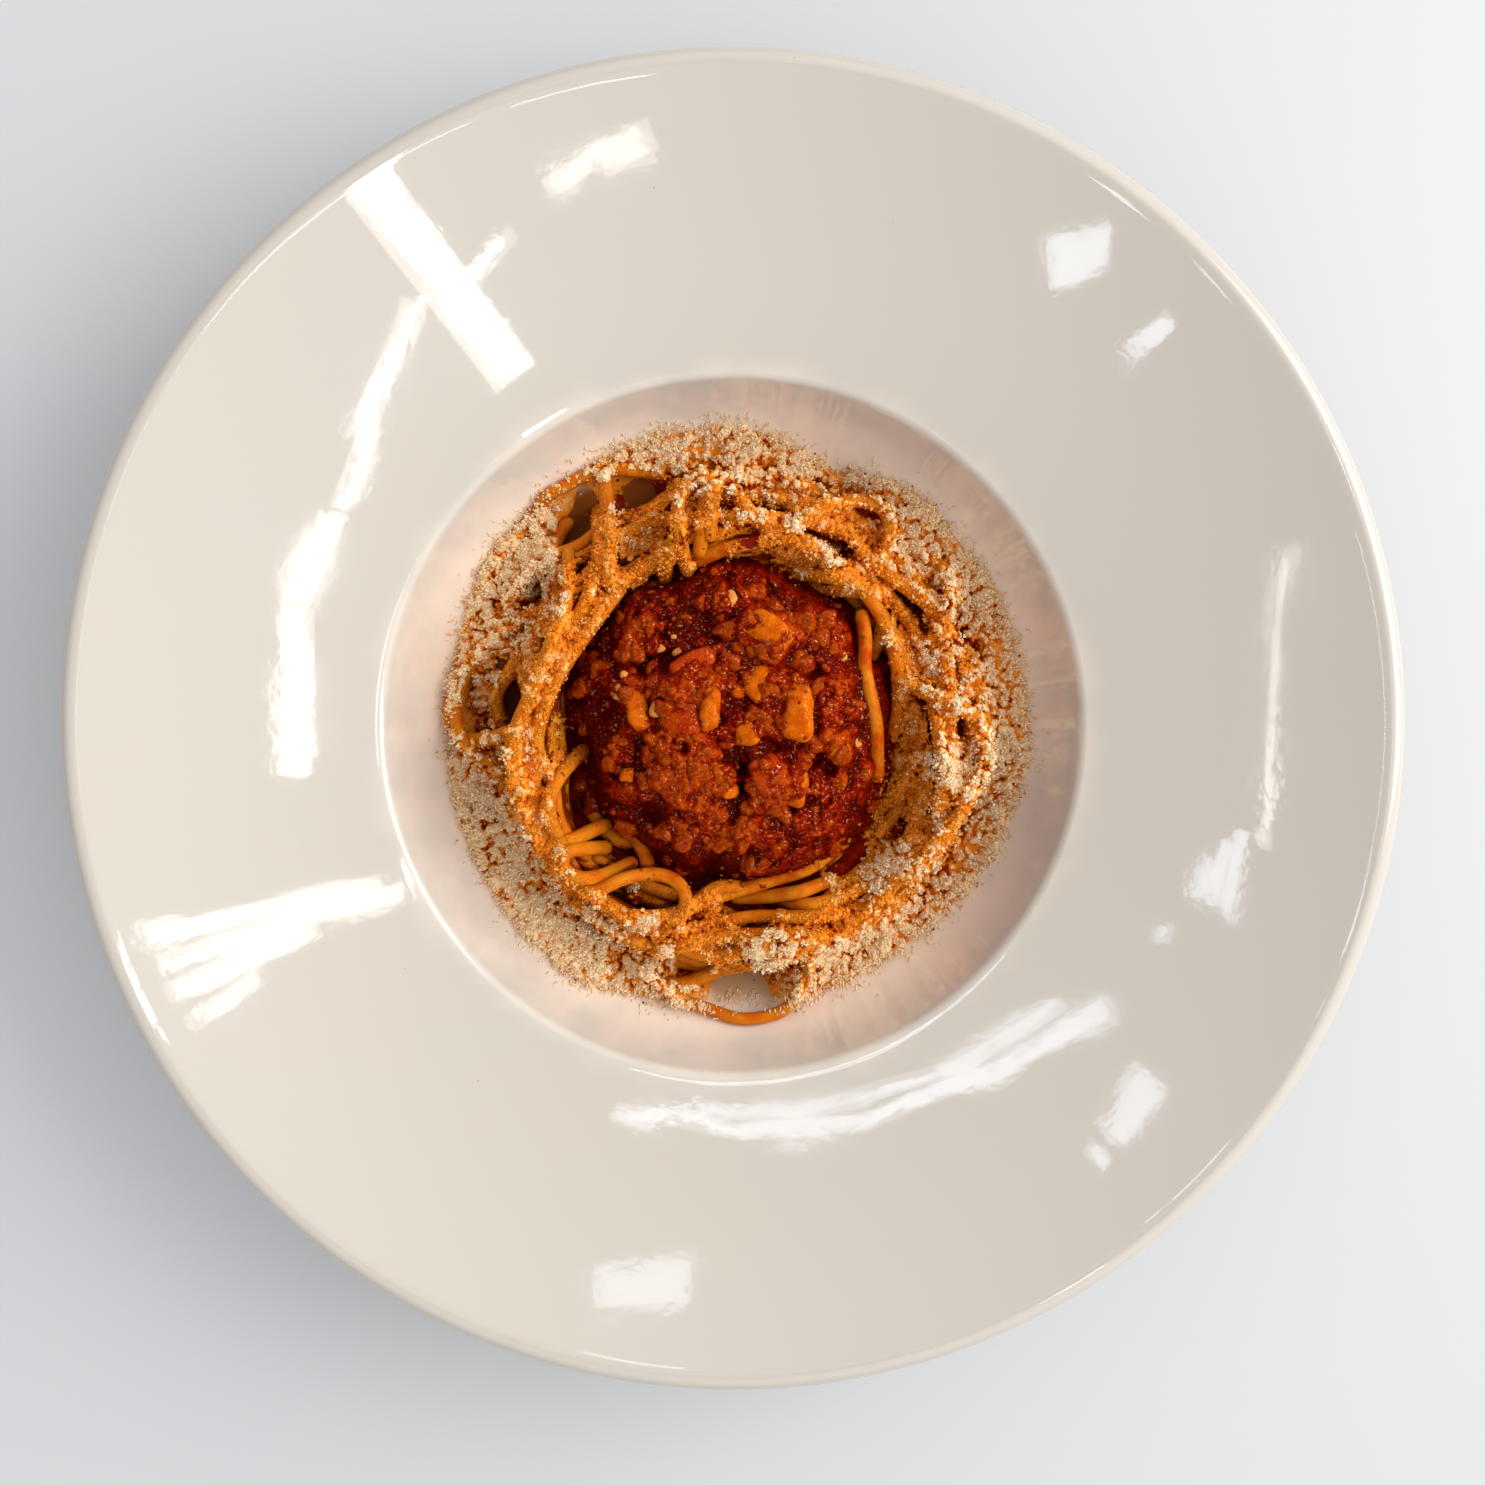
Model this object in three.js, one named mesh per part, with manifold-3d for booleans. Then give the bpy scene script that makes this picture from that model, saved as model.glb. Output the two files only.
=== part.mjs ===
// Spaghetti bolognese in its wide-rimmed pasta bowl.
// Millimetres, +Z up, the origin at the centre of the bowl's foot.
// Directions round the bowl are in degrees, anticlockwise from +X as seen from above.

import * as THREE from 'three';
import { mergeVertices } from 'three/addons/utils/BufferGeometryUtils.js';
import Module from 'manifold-3d';

const wasm = await Module();
wasm.setup();

const GAP = 0.3;          // clearance between one piece and the next
const FACET = 0.25;       // how far a flat facet may stand proud of its true curve

// ---------------------------------------------------------------- sizes

const BOWL = {
  radius: 135,            // outermost edge of the lip
  segments: 52,
  floorHeight: 6,         // inner floor above the table
  floorRadius: 40,        // flat part of the inner floor
  wellCurve: 33,          // radius of the curve from floor to wall
  wallAngle: 68,          // slope of the wall where it meets the rim
  wallTop: 32,            // height where the wall starts to turn over
  edgeCurve: 2.6,         // rounded edge between well and rim
  rimSlope: 13,           // slope of the rim next to the well
  height: 51.7,           // top of the lip
  lipCurve: 3,            // radius of the rounded lip
  lipStart: 112,          // where on its section the rim runs into it, in degrees from +X
  rimThickness: 4.4,
  wallThickness: 4.2,
  footRadius: 49,
  footWidth: 5,
  recess: 2.4,            // underside of the base above the table
};

// Outlines and crests waver: each wave is [height, number round the circle, phase in degrees].
const NEST = {
  radius: 51,             // the bundled noodles, without the strands that stick out
  outlineWaves: [[1.2, 3, 40], [0.8, 5, 110]],
  crestRadius: 38,
  crestHeight: 20,
  crestWaves: [[1.2, 2, 70], [0.8, 5, 20]],
  hollowHeight: 15,       // the middle, where the sauce sits
  footHeight: 3,          // height of the core's edge above the well
  segments: 36,
};

const NOODLE = {
  radius: 1.5,
  sides: 5,
  step: 4.6,              // length of one straight facet along a strand
  perStep: 3,             // places in each step where the height is worked out
  clear: 0.15,            // the middle of a strand just clears what it lies over
  sink: 1.3,              // its ends bed into it by this much
  bedded: 0.12,           // over this share of the strand at each end
  bridging: 4,            // places to each side over which a strand bridges a dip
};

const RAGU = {
  radius: 33,
  outlineWaves: [[0.9, 2, 200], [0.8, 5, 30], [0.5, 9, 0]],
  shift: 1.6,             // the sauce sits this far towards +Y of the bowl's axis
  edgeHeight: 24,
  topHeight: 37.5,
  relief: 0.8,            // unevenness of its surface
  proud: 0.2,             // share of a lump's height by which its middle stands above the sauce
  segments: 32,
};

const CHEESE = {
  outer: 64,              // outline of the cheese that lies in the well round the nest
  outlineWaves: [[1.2, 4, 60], [0.9, 7, 15], [0.6, 13, 80]],
  thin: 0.7,
  drift: 2.4,             // extra thickness where the cheese has piled up
  bump: 0.5,              // height of its grains
  bare: [[177, 12], [272, 16], [127, 9], [76, 8]],   // [direction, half width] with hardly any
  segments: 56,
};

// Strands that can be told apart, each by a few [direction, reach] pairs along it.
const SHOWN_STRANDS = [
  [[118, 61], [122, 50], [131, 41], [140, 39]],                        // upright one, upper left
  [[108, 37], [108, 44], [104, 52], [98, 55], [93, 52], [92, 45], [93, 38]],   // hairpin at the top
  [[106, 37], [92, 38], [80, 41], [71, 49]],                           // slanting one, top right
  [[127, 48], [145, 41], [162, 42], [178, 44], [192, 46], [203, 44]],  // long one, left
  [[186, 43], [185, 52], [180, 61], [172, 62], [165, 56], [160, 47]],  // loop that bulges out, left
  [[139, 55], [132, 61], [122, 60], [112, 56]],                        // upper left edge
  [[68, 37], [52, 40], [33, 39], [14, 37], [0, 36], [348, 36]],        // long one, right of the sauce
  [[74, 46], [67, 53], [58, 55], [50, 51], [47, 44]],                  // small loop, upper right
  [[42, 55], [36, 57], [27, 53], [22, 45]],                            // right of that loop
  [[14, 42], [6, 48], [355, 53], [345, 50], [340, 43]],                // right side
  [[188, 36], [199, 40], [209, 42], [217, 38]],                        // short one, left of the sauce
  [[214, 46], [221, 40], [232, 36], [240, 40]],                        // cut end, lower left
  [[219, 51], [229, 46], [236, 39], [247, 36], [257, 39], [259, 45]],  // hook, lower left
  [[333, 36], [316, 36], [298, 36], [281, 36], [264, 38], [252, 45]],  // below the sauce
  [[255, 43], [276, 42], [293, 44], [306, 48]],                        // bottom
  [[244, 59], [257, 57], [269, 53], [283, 49]],                        // slanting one, bottom
  [[256, 55], [264, 61], [272, 63], [281, 60], [288, 52]],             // loop that sticks out, bottom
];

// The rest of the nest: strands that wind round it in a few bands, spread evenly by a rule.
const WOUND_STRANDS = {
  count: 22,
  first: 20,              // direction where the first one starts
  turn: 137.5,            // from there to the start of the next
  sweep: 68,              // how far round each one runs, give or take
  inner: 38,              // reach of the innermost band
  band: 5,                // from one band to the next
  bands: 4,
  wobble: 1.8,
  seed: 7,
};

// Lumps of grated cheese on the noodles: [direction, reach, width, height].
const CHEESE_LUMPS = [
  [352, 45, 11, 5],
  [328, 47, 9, 4],
  [278, 48, 9, 3],
  [100, 47, 8, 3],
  [155, 48, 9, 3],
  [226, 47, 9, 3],
  [22, 46, 9, 3],
  [196, 48, 7, 3],
];

// The largest pieces in the sauce, from its own middle:
// [direction, reach, length, width, height, turn, whether it is a cut dice].
const RAGU_PIECES = [
  [235, 12, 21, 18, 7, 20, false],     // clump of mince
  [2, 14, 11, 6.5, 6, 80, true],       // carrot
  [170, 19, 9, 5, 5, 75, true],        // carrot
  [68, 19, 10, 9, 5, 15, false],       // carrot
  [140, 6, 9, 7, 6, 40, true],         // carrot
  [310, 5, 6, 6, 6, 0, false],         // carrot
  [35, 10, 8, 6, 6, 120, true],        // onion
];

// The smaller lumps, spread evenly over the sauce by a rule; every third is a cut dice.
const RAGU_LUMPS = { count: 20, first: 3, turn: 137.5, reach: 28, size: 7, diceEvery: 3, seed: 11 };

// ---------------------------------------------------------------- surfaces

const radians = (degrees) => degrees * Math.PI / 180;

const wavering = (direction, waves) => waves.reduce(
  (sum, [height, number, phase]) => sum + height * Math.sin(radians(number * direction + phase)), 0);

const nestRadius = (direction) => NEST.radius + wavering(direction, NEST.outlineWaves);
const raguRadius = (direction) => RAGU.radius + wavering(direction, RAGU.outlineWaves);
const cheeseRadius = (direction) => CHEESE.outer + wavering(direction, CHEESE.outlineWaves);

function polar(direction, reach) {
  return new THREE.Vector3(reach * Math.cos(radians(direction)), reach * Math.sin(radians(direction)), 0);
}

const directionOf = (point) => (Math.atan2(point.y, point.x) * 180 / Math.PI + 360) % 360;

// Height of the inside of the well at distance r from the axis.
function wellHeight(r) {
  const wall = radians(BOWL.wallAngle);
  const reach = Math.max(0, r - BOWL.floorRadius);
  const onCurve = Math.min(reach, BOWL.wellCurve * Math.sin(wall));
  const rise = BOWL.wellCurve - Math.sqrt(BOWL.wellCurve ** 2 - onCurve ** 2);
  return BOWL.floorHeight + rise + (reach - onCurve) * Math.tan(wall);
}

// Top of the bare nest of noodles, a ring-shaped mound with a hollow in the middle,
// as [r, z] points from the axis to its outline.
function nestProfile(direction) {
  const outline = nestRadius(direction);
  const crest = NEST.crestHeight + wavering(direction, NEST.crestWaves);
  const edge = wellHeight(outline) + NEST.footHeight;
  const inner = [0, 0.37, 0.68, 0.89].map((t) => {
    const rise = t * t * (3 - 2 * t);
    return [NEST.crestRadius * t, NEST.hollowHeight + (crest - NEST.hollowHeight) * rise];
  });
  const outer = [0, 0.35, 0.65, 0.88, 1].map((t) =>
    [NEST.crestRadius + (outline - NEST.crestRadius) * t, edge + (crest - edge) * Math.sqrt(1 - t * t)]);
  return [...inner, ...outer];
}

// Height of that top at distance r from the axis.
function nestTop(r, direction) {
  const profile = nestProfile(direction);
  const next = profile.findIndex(([at]) => at > r);
  if (next < 0) return profile[profile.length - 1][1];
  const [r0, z0] = profile[next - 1];
  const [r1, z1] = profile[next];
  return z0 + (z1 - z0) * (r - r0) / (r1 - r0);
}

// Top of the sauce, r being the distance from its own middle.
function raguTop(r, direction) {
  const t = Math.min(1, r / raguRadius(direction));
  return RAGU.edgeHeight + (RAGU.topHeight - RAGU.edgeHeight) * Math.sqrt(1 - t * t);
}

// Between 0, where the cheese round the nest is thin, and 1, where it is a full drift.
function driftAt(direction) {
  return CHEESE.bare.reduce((amount, [centre, halfWidth]) => {
    const away = Math.abs(((direction - centre + 540) % 360) - 180);
    return amount * (1 - Math.exp(-((away / halfWidth) ** 4)));
  }, 1);
}

function cheeseThickness(r, direction) {
  const inner = nestRadius(direction);
  const t = Math.min(1, Math.max(0, (r - inner) / (cheeseRadius(direction) - inner)));
  return CHEESE.thin + CHEESE.drift * driftAt(direction) * Math.sin(Math.PI * t) ** 2;
}

// ---------------------------------------------------------------- shapes and solids

// A small seeded random source, so that the part is the same each time.
function seeded(seed) {
  let state = seed;
  return () => {
    state = (state * 1664525 + 1013904223) % 4294967296;
    return state / 4294967296;
  };
}

// Points of an arc in the (r, z) plane, the angles in degrees.
function arc(centreR, centreZ, radius, from, to, steps) {
  return Array.from({ length: steps + 1 }, (_, i) => {
    const angle = radians(from + (to - from) * i / steps);
    return new THREE.Vector2(centreR + radius * Math.cos(angle), centreZ + radius * Math.sin(angle));
  });
}

// A closed body turned round the axis, its profile given anew for each direction:
// [r, z] points in order from the underside's middle or inner edge, outwards and back over the top.
function turned(profileAt, segments) {
  const profiles = Array.from({ length: segments }, (_, s) => profileAt(360 * s / segments));
  const count = profiles[0].length;
  const plain = Array.from({ length: count }, (_, i) => new THREE.Vector2(i, 0));
  const geometry = new THREE.LatheGeometry(plain, segments);
  for (let s = 0; s <= segments; s++) {
    const angle = radians(360 * (s % segments) / segments);
    profiles[s % segments].forEach(([r, z], i) => {
      geometry.attributes.position.setXYZ(s * count + i, r * Math.cos(angle), r * Math.sin(angle), z);
    });
  }
  return geometry;
}

function solidOf(geometry) {
  const bare = geometry.clone();
  bare.deleteAttribute('normal');
  bare.deleteAttribute('uv');
  const merged = mergeVertices(bare, 1e-4);
  return new wasm.Manifold(new wasm.Mesh({
    numProp: 3,
    vertProperties: new Float32Array(merged.attributes.position.array),
    triVerts: new Uint32Array(merged.index.array),
  }));
}

// Joins the solids and keeps the main body: loose scraps go, and hollows that got sealed are filled.
function fuse(solids) {
  const whole = solids.reduce((sum, next) => sum.add(next));
  const body = whole.decompose().reduce((main, other) => (other.volume() > main.volume() ? other : main));
  const mesh = body.getMesh();
  const geometry = new THREE.BufferGeometry();
  geometry.setAttribute('position', new THREE.BufferAttribute(mesh.vertProperties, 3));
  geometry.setIndex(new THREE.BufferAttribute(mesh.triVerts, 1));
  geometry.computeVertexNormals();
  return geometry;
}

// ---------------------------------------------------------------- the bowl

function bowlGeometry() {
  const b = BOWL;
  const wall = radians(b.wallAngle);
  const slope = Math.tan(radians(b.rimSlope));
  const floorCurve = arc(b.floorRadius, b.floorHeight + b.wellCurve, b.wellCurve, -90, b.wallAngle - 90, 5);
  const curveEnd = floorCurve[floorCurve.length - 1];
  // The edge of the well: an arc that turns from the wall's slope to the rim's.
  const edgeCentreR = curveEnd.x + (b.wallTop - curveEnd.y) / Math.tan(wall) + b.edgeCurve * Math.sin(wall);
  const edgeCentreZ = b.wallTop - b.edgeCurve * Math.cos(wall);
  const edge = arc(edgeCentreR, edgeCentreZ, b.edgeCurve, 90 + b.wallAngle, 90 + b.rimSlope, 2);
  const rimStart = edge[edge.length - 1];
  // The rim: dished, from the well's edge up into the rounded lip, which rolls over outwards.
  const lipR = b.radius - b.lipCurve;
  const lip = arc(lipR, b.height - b.lipCurve, b.lipCurve, b.lipStart, -90, 5);
  const rimEnd = lip[0];
  const halfRim = (rimEnd.x - rimStart.x) / 2;
  const rimMiddle = new THREE.Vector2(rimStart.x + halfRim, rimStart.y + halfRim * slope);
  const rim = new THREE.QuadraticBezierCurve(rimStart, rimMiddle, rimEnd).getPoints(4).slice(1, -1);
  // The underside: below the rim and round the well to the foot ring.
  const underRim = [
    new THREE.Vector2(rimStart.x + 2 * b.rimThickness, rimStart.y - 0.64 * b.rimThickness),
    new THREE.Vector2(lipR - b.lipCurve, b.height - 1.3 * b.rimThickness),
  ];
  const outerWall = arc(b.floorRadius, b.floorHeight + b.wellCurve, b.wellCurve + b.wallThickness,
    -72, b.wallAngle - 92, 3);
  const footEdge = 0.6;
  const foot = [
    new THREE.Vector2(b.footRadius - b.footWidth - 1, b.recess),
    new THREE.Vector2(b.footRadius - b.footWidth, 0),
    new THREE.Vector2(b.footRadius - footEdge, 0),
    new THREE.Vector2(b.footRadius, footEdge),
  ];
  const inside = [...floorCurve, ...edge, ...rim, ...lip].reverse();
  const axis = (z) => new THREE.Vector2(0, z);
  const profile = [axis(b.recess), ...foot, ...outerWall, ...underRim, ...inside, axis(b.floorHeight)];
  return new THREE.LatheGeometry(profile, b.segments).rotateX(Math.PI / 2);
}

// ---------------------------------------------------------------- spaghetti

function nestCore() {
  return turned((direction) => {
    const under = [BOWL.floorRadius, 45, nestRadius(direction)].map((r) => [r, wellHeight(r) + GAP + FACET]);
    return [[0, BOWL.floorHeight + GAP], ...under, ...nestProfile(direction).reverse()];
  }, NEST.segments);
}

function woundStrands() {
  const w = WOUND_STRANDS;
  const random = seeded(w.seed);
  return Array.from({ length: w.count }, (_, i) => {
    const start = w.first + i * w.turn;
    const reach = w.inner + w.band * (i % w.bands + random() - 0.5);
    const sweep = w.sweep * (0.8 + 0.4 * random());
    const phase = 360 * random();
    return [0, 0.2, 0.4, 0.6, 0.8, 1].map((t) =>
      [start + sweep * t, reach + w.wobble * Math.sin(radians(400 * t + phase))]);
  });
}

// Height of the middle of a strand that lies on the cheese or on the sloping well.
function onWell(point) {
  const r = Math.hypot(point.x, point.y);
  const direction = directionOf(point);
  const surface = (at) => wellHeight(at) + cheeseThickness(at, direction) + CHEESE.bump * driftAt(direction);
  const slope = surface(r + 1) - surface(r);
  return surface(r) + (NOODLE.radius + GAP) * Math.hypot(1, slope) + 2 * FACET + GAP;
}

// Height of a middle that lies this far above the core, or beside the core on the well.
function onNest(point, above) {
  const r = Math.hypot(point.x, point.y);
  const direction = directionOf(point);
  if (r >= nestRadius(direction)) return onWell(point);
  return Math.max(onWell(point), nestTop(r, direction) + above);
}

// Height of a middle that lies on the strands that were laid before it, or 0 where there are none.
function onPile(point, pile) {
  return pile.reduce((height, below) => {
    const apart = Math.hypot(point.x - below.x, point.y - below.y);
    if (apart >= 2 * NOODLE.radius) return height;
    return Math.max(height, below.z + Math.sqrt(4 * NOODLE.radius ** 2 - apart ** 2));
  }, 0);
}

// Strands keep clear of the sauce, which is fitted to the bare core.
function besideRagu(point) {
  const fromRagu = new THREE.Vector3(point.x, point.y - RAGU.shift, 0);
  const least = raguRadius(directionOf(fromRagu)) + NOODLE.radius + GAP + 2 * FACET;
  if (fromRagu.length() < least) fromRagu.setLength(least);
  return new THREE.Vector3(fromRagu.x, fromRagu.y + RAGU.shift, 0);
}

// A strand is stiff, so it bridges dips: each height is averaged with those near it, but never lowered.
function bridge(points) {
  return points.map((point, i) => {
    const near = points.slice(Math.max(0, i - NOODLE.bridging), i + NOODLE.bridging + 1);
    const mean = near.reduce((sum, other) => sum + other.z, 0) / near.length;
    return new THREE.Vector3(point.x, point.y, Math.max(point.z, mean));
  });
}

// Lays a strand over the core and the pile, adds it to the pile and gives its tube.
function strand(pairs, pile) {
  const plan = new THREE.CatmullRomCurve3(pairs.map(([direction, reach]) => polar(direction, reach)));
  const steps = Math.round(plan.getLength() / NOODLE.step);
  const samples = steps * NOODLE.perStep;
  const laid = plan.getSpacedPoints(samples).map((point, i) => {
    const placed = besideRagu(point);
    const t = i / samples;
    const atEnd = Math.max(0, 1 - Math.min(t, 1 - t) / NOODLE.bedded);
    const above = (1 - atEnd) * NOODLE.clear - atEnd * NOODLE.sink;
    placed.z = Math.max(onNest(placed, NOODLE.radius + above), onPile(placed, pile) + above);
    return placed;
  });
  const bridged = bridge(bridge(laid));
  pile.push(...bridged);
  const corner = (_, i) => polar(360 * i / NOODLE.sides, NOODLE.radius);
  const corners = Array.from({ length: NOODLE.sides }, corner);
  return new THREE.ExtrudeGeometry(new THREE.Shape(corners), {
    steps,
    bevelEnabled: false,
    extrudePath: new THREE.CatmullRomCurve3(bridged.filter((_, i) => i % NOODLE.perStep === 0)),
  });
}

function cheeseLump([direction, reach, width, height], pile) {
  const base = polar(direction, reach);
  const lump = new THREE.IcosahedronGeometry(0.5, 1);
  lump.scale(width, width * 0.75, height * 1.2);
  lump.rotateZ(radians(direction * 3));
  lump.translate(base.x, base.y, Math.max(onNest(base, 0), onPile(base, pile)));
  return lump;
}

function spaghetti() {
  const pile = [];
  const strands = [...woundStrands(), ...SHOWN_STRANDS].map((pairs) => strand(pairs, pile));
  const lumps = CHEESE_LUMPS.map((lump) => cheeseLump(lump, pile));
  return fuse([nestCore(), ...strands, ...lumps].map(solidOf));
}

// ---------------------------------------------------------------- meat sauce

function raguCore() {
  const random = seeded(19);
  return turned((direction) => {
    const edge = raguRadius(direction);
    const under = [0, 10, 20, 27, edge - 0.8].map((r) => {
      const below = polar(direction, r);
      below.y += RAGU.shift;
      return [r, nestTop(below.length(), directionOf(below)) + GAP + FACET];
    });
    const top = [1, 0.95, 0.86, 0.74, 0.6, 0.44, 0.26].map((t) => {
      const fade = Math.min(1, 2 * t) * (1 - t ** 4);
      return [edge * t, raguTop(edge * t, direction) + RAGU.relief * fade * (2 * random() - 1)];
    });
    return [...under, ...top, [0, RAGU.topHeight]];
  }, RAGU.segments);
}

function raguPiece([direction, reach, length, width, height, turn, dice]) {
  const place = polar(direction, reach);
  const large = length > 10;
  const piece = dice ? new THREE.BoxGeometry() : new THREE.IcosahedronGeometry(0.5, large ? 1 : 0);
  piece.scale(length, width, height * 1.6);
  if (dice) piece.rotateX(radians(20));
  piece.rotateZ(radians(turn));
  piece.translate(place.x, place.y, raguTop(reach, direction) + RAGU.proud * height);
  return piece;
}

function ragu() {
  const lumps = RAGU_LUMPS;
  const random = seeded(lumps.seed);
  const small = Array.from({ length: lumps.count }, (_, i) => {
    const direction = lumps.first + i * lumps.turn;
    const reach = lumps.reach * Math.sqrt((i + 0.5) / lumps.count);
    const size = lumps.size * (0.8 + 0.4 * random());
    return [direction, reach, size, size * 0.8, size * 0.6, 180 * random(), i % lumps.diceEvery === 0];
  });
  return fuse([raguCore(), ...[...RAGU_PIECES, ...small].map(raguPiece)].map(solidOf));
}

// ---------------------------------------------------------------- grated cheese in the well

function gratedCheese() {
  const random = seeded(5);
  return turned((direction) => {
    const inner = nestRadius(direction) + 2 * GAP;
    const outer = cheeseRadius(direction);
    const across = (t) => inner + (outer - inner) * t;
    const floor = (r) => wellHeight(r) + GAP + FACET;
    const under = [0, 0.33, 0.66, 1].map((t) => [across(t), floor(across(t))]);
    const over = [0.98, 0.85, 0.65, 0.4, 0.02].map((t) => {
      const bump = CHEESE.bump * random() * driftAt(direction);
      const thickness = cheeseThickness(across(t), direction) * (t > 0.9 ? 0.8 : 1);
      return [across(t), floor(across(t)) + thickness + bump];
    });
    return [...under, ...over, under[0]];
  }, CHEESE.segments);
}

// ---------------------------------------------------------------- the whole dish

function part(name, geometry, color, roughness) {
  const mesh = new THREE.Mesh(geometry, new THREE.MeshStandardMaterial({ color, roughness, metalness: 0 }));
  mesh.name = name;
  return mesh;
}

const group = new THREE.Group();
group.add(part('bowl', bowlGeometry(), 0xe9e0d2, 0.15));
group.add(part('spaghetti', spaghetti(), 0xd07728, 0.45));
group.add(part('ragu', ragu(), 0x7e2208, 0.35));
group.add(part('grated_cheese', gratedCheese(), 0xe8d1b0, 0.8));

export default group;
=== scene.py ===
"""Spaghetti bolognese in its wide-rimmed pasta bowl, dressed over the CAD frame.

Lengths are in millimetres in the part's own frame until a mesh is made: the origin is at the
centre of the bowl's foot, +Z is up and +Y is the top of the photograph. Directions round the
bowl are in degrees, anticlockwise from +X as seen from above, and a reach is a distance from
the bowl's axis.
"""
import math

import bmesh
import bpy
import numpy as np
from mathutils import Matrix, Vector


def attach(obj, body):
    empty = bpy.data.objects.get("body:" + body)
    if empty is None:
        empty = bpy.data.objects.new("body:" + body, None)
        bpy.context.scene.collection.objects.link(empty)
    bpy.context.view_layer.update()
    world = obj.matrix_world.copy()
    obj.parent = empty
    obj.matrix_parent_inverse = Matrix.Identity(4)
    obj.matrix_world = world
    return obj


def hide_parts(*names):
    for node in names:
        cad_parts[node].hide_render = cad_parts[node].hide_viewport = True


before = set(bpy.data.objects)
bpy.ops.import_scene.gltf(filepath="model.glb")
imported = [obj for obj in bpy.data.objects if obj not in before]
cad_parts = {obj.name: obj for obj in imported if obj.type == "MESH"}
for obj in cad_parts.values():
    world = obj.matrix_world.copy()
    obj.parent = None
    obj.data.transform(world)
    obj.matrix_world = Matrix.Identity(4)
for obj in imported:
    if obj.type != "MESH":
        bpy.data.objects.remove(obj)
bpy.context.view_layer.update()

MM = 0.001

# ---------------------------------------------------------------- sizes, as in the CAD

FLOOR_HEIGHT = 6.0
FLOOR_RADIUS = 40.0
WELL_CURVE = 33.0
WALL_ANGLE = math.radians(68)
WALL_TOP = 32.0
EDGE_CURVE = 2.6
RIM_SLOPE = math.radians(13)
BOWL_RADIUS = 135.0
BOWL_HEIGHT = 51.7
LIP_CURVE = 3.0
LIP_START = 112             # where on its section the rim runs into the lip, in degrees
RIM_THICKNESS = 4.4
WALL_THICKNESS = 4.2
FOOT_RADIUS = 49.0
RECESS = 2.4
BOWL_SEGMENTS = 256

NEST_RADIUS = 51.0
NEST_WAVES = ((1.2, 3, 40), (0.8, 5, 110))
CREST_RADIUS = 38.0
CREST_HEIGHT = 20.0
CREST_WAVES = ((1.2, 2, 70), (0.8, 5, 20))
HOLLOW_HEIGHT = 15.0
CORE_DROP = 2.6             # the core in the scene lies this much lower, under more strands
CORE_INSET = 1.5            # and stops this far inside the nest
CORE_GRID = 130

STRAND_RADIUS = 1.5
STRAND_SIDES = 10
STRAND_STEP = 1.15          # between the rings of a strand's mesh
STRAND_SPACING = 0.5        # between the places where its height is worked out
STRAND_SAG = 0.06           # how sharply it sags between the places that hold it up
STRAND_PRESS = 0.15         # how far it sinks into what holds it up
STRAND_DIP = 2.2            # its ends go down among the others by this much
STRAND_DIP_LENGTH = 9.0     # over this length
WOUND_COUNT = 46
WOUND_TURN = 137.5          # from the start of one wound strand to the next, in degrees
WOUND_INNER = 34.0
WOUND_OUTER = 56.0
OPEN_SIDES = ((216, 24, 8.5), (168, 38, 4.5))   # wound strands keep off: direction, width, how far

RAGU_RADIUS = 33.0
RAGU_WAVES = ((0.9, 2, 200), (0.8, 5, 30), (0.5, 9, 0))
RAGU_SHIFT = 1.6            # its middle lies this far towards +Y
RAGU_EDGE = 24.0
RAGU_TOP = 37.5
RAGU_FOOT = 16.5
RAGU_SPREAD = 1 + 3.4 / RAGU_RADIUS     # it runs out among the strands to this many times its radius
RAGU_GRID = 262
STRAND_BEDDING = 1.8        # a strand over the sauce lies this deep in it
MINCE_TRIED = 1150
MINCE_REACH = 38.0

CHEESE_THIN = 0.7
CHEESE_DRIFT = 2.4
DRIFT_OVERLAP = 4.0         # the bed of cheese starts this far inside the nest's outline
DRIFT_INSET = 1.5           # and stops this far inside the cheese's edge
DRIFT_SUNK = 0.3            # and lies this much lower than its thickness makes it
DRIFT_ROUND = 360
DRIFT_ACROSS = 16
LAYER_DROP = 2.4            # the layer of cheese doesn't bridge steps that are higher than this
CRUMB_COUNT = 24000         # inside the nest, and as many outside it
CRUMB_REACH = 69.0
CRUMB_SMALLEST = 0.14
SHRED_COUNT = 2100
BIT_RADIUS = 0.36           # of the ball that stands for a crumb or a shred in the heap's height

# Outer edge of the grated cheese: (direction, reach), measured round the photograph.
FRINGE = (
    (18, 65), (37, 65), (54, 65), (68, 61), (88, 66), (104, 66), (116, 66), (130, 65),
    (144, 66), (165, 64), (176, 64), (185, 64), (197, 64), (210, 65), (225, 66), (237, 67),
    (247, 65), (261, 64), (272, 62), (283, 64), (301, 63), (319, 64), (336, 65), (358, 66),
)

# Places that the strands leave open: (x, y, half width). Sauce shows in the first kind, and the
# bowl or cheese in the second.
SAUCY_HOLES = (
    (-48, 5.5, 3.6), (-34, 40.5, 3.6), (-20.5, 50.5, 3), (-19, -21.5, 4), (-7.5, 38.5, 2.4),
    (2.5, 40, 2.6), (-25.5, -12.5, 2.6), (28.5, 12, 1.8), (-30, -24, 2.4),
)
PALE_HOLES = ((-9, -51.5, 3.6), (1.5, -58.5, 5.5), (23, 38, 3))

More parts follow.
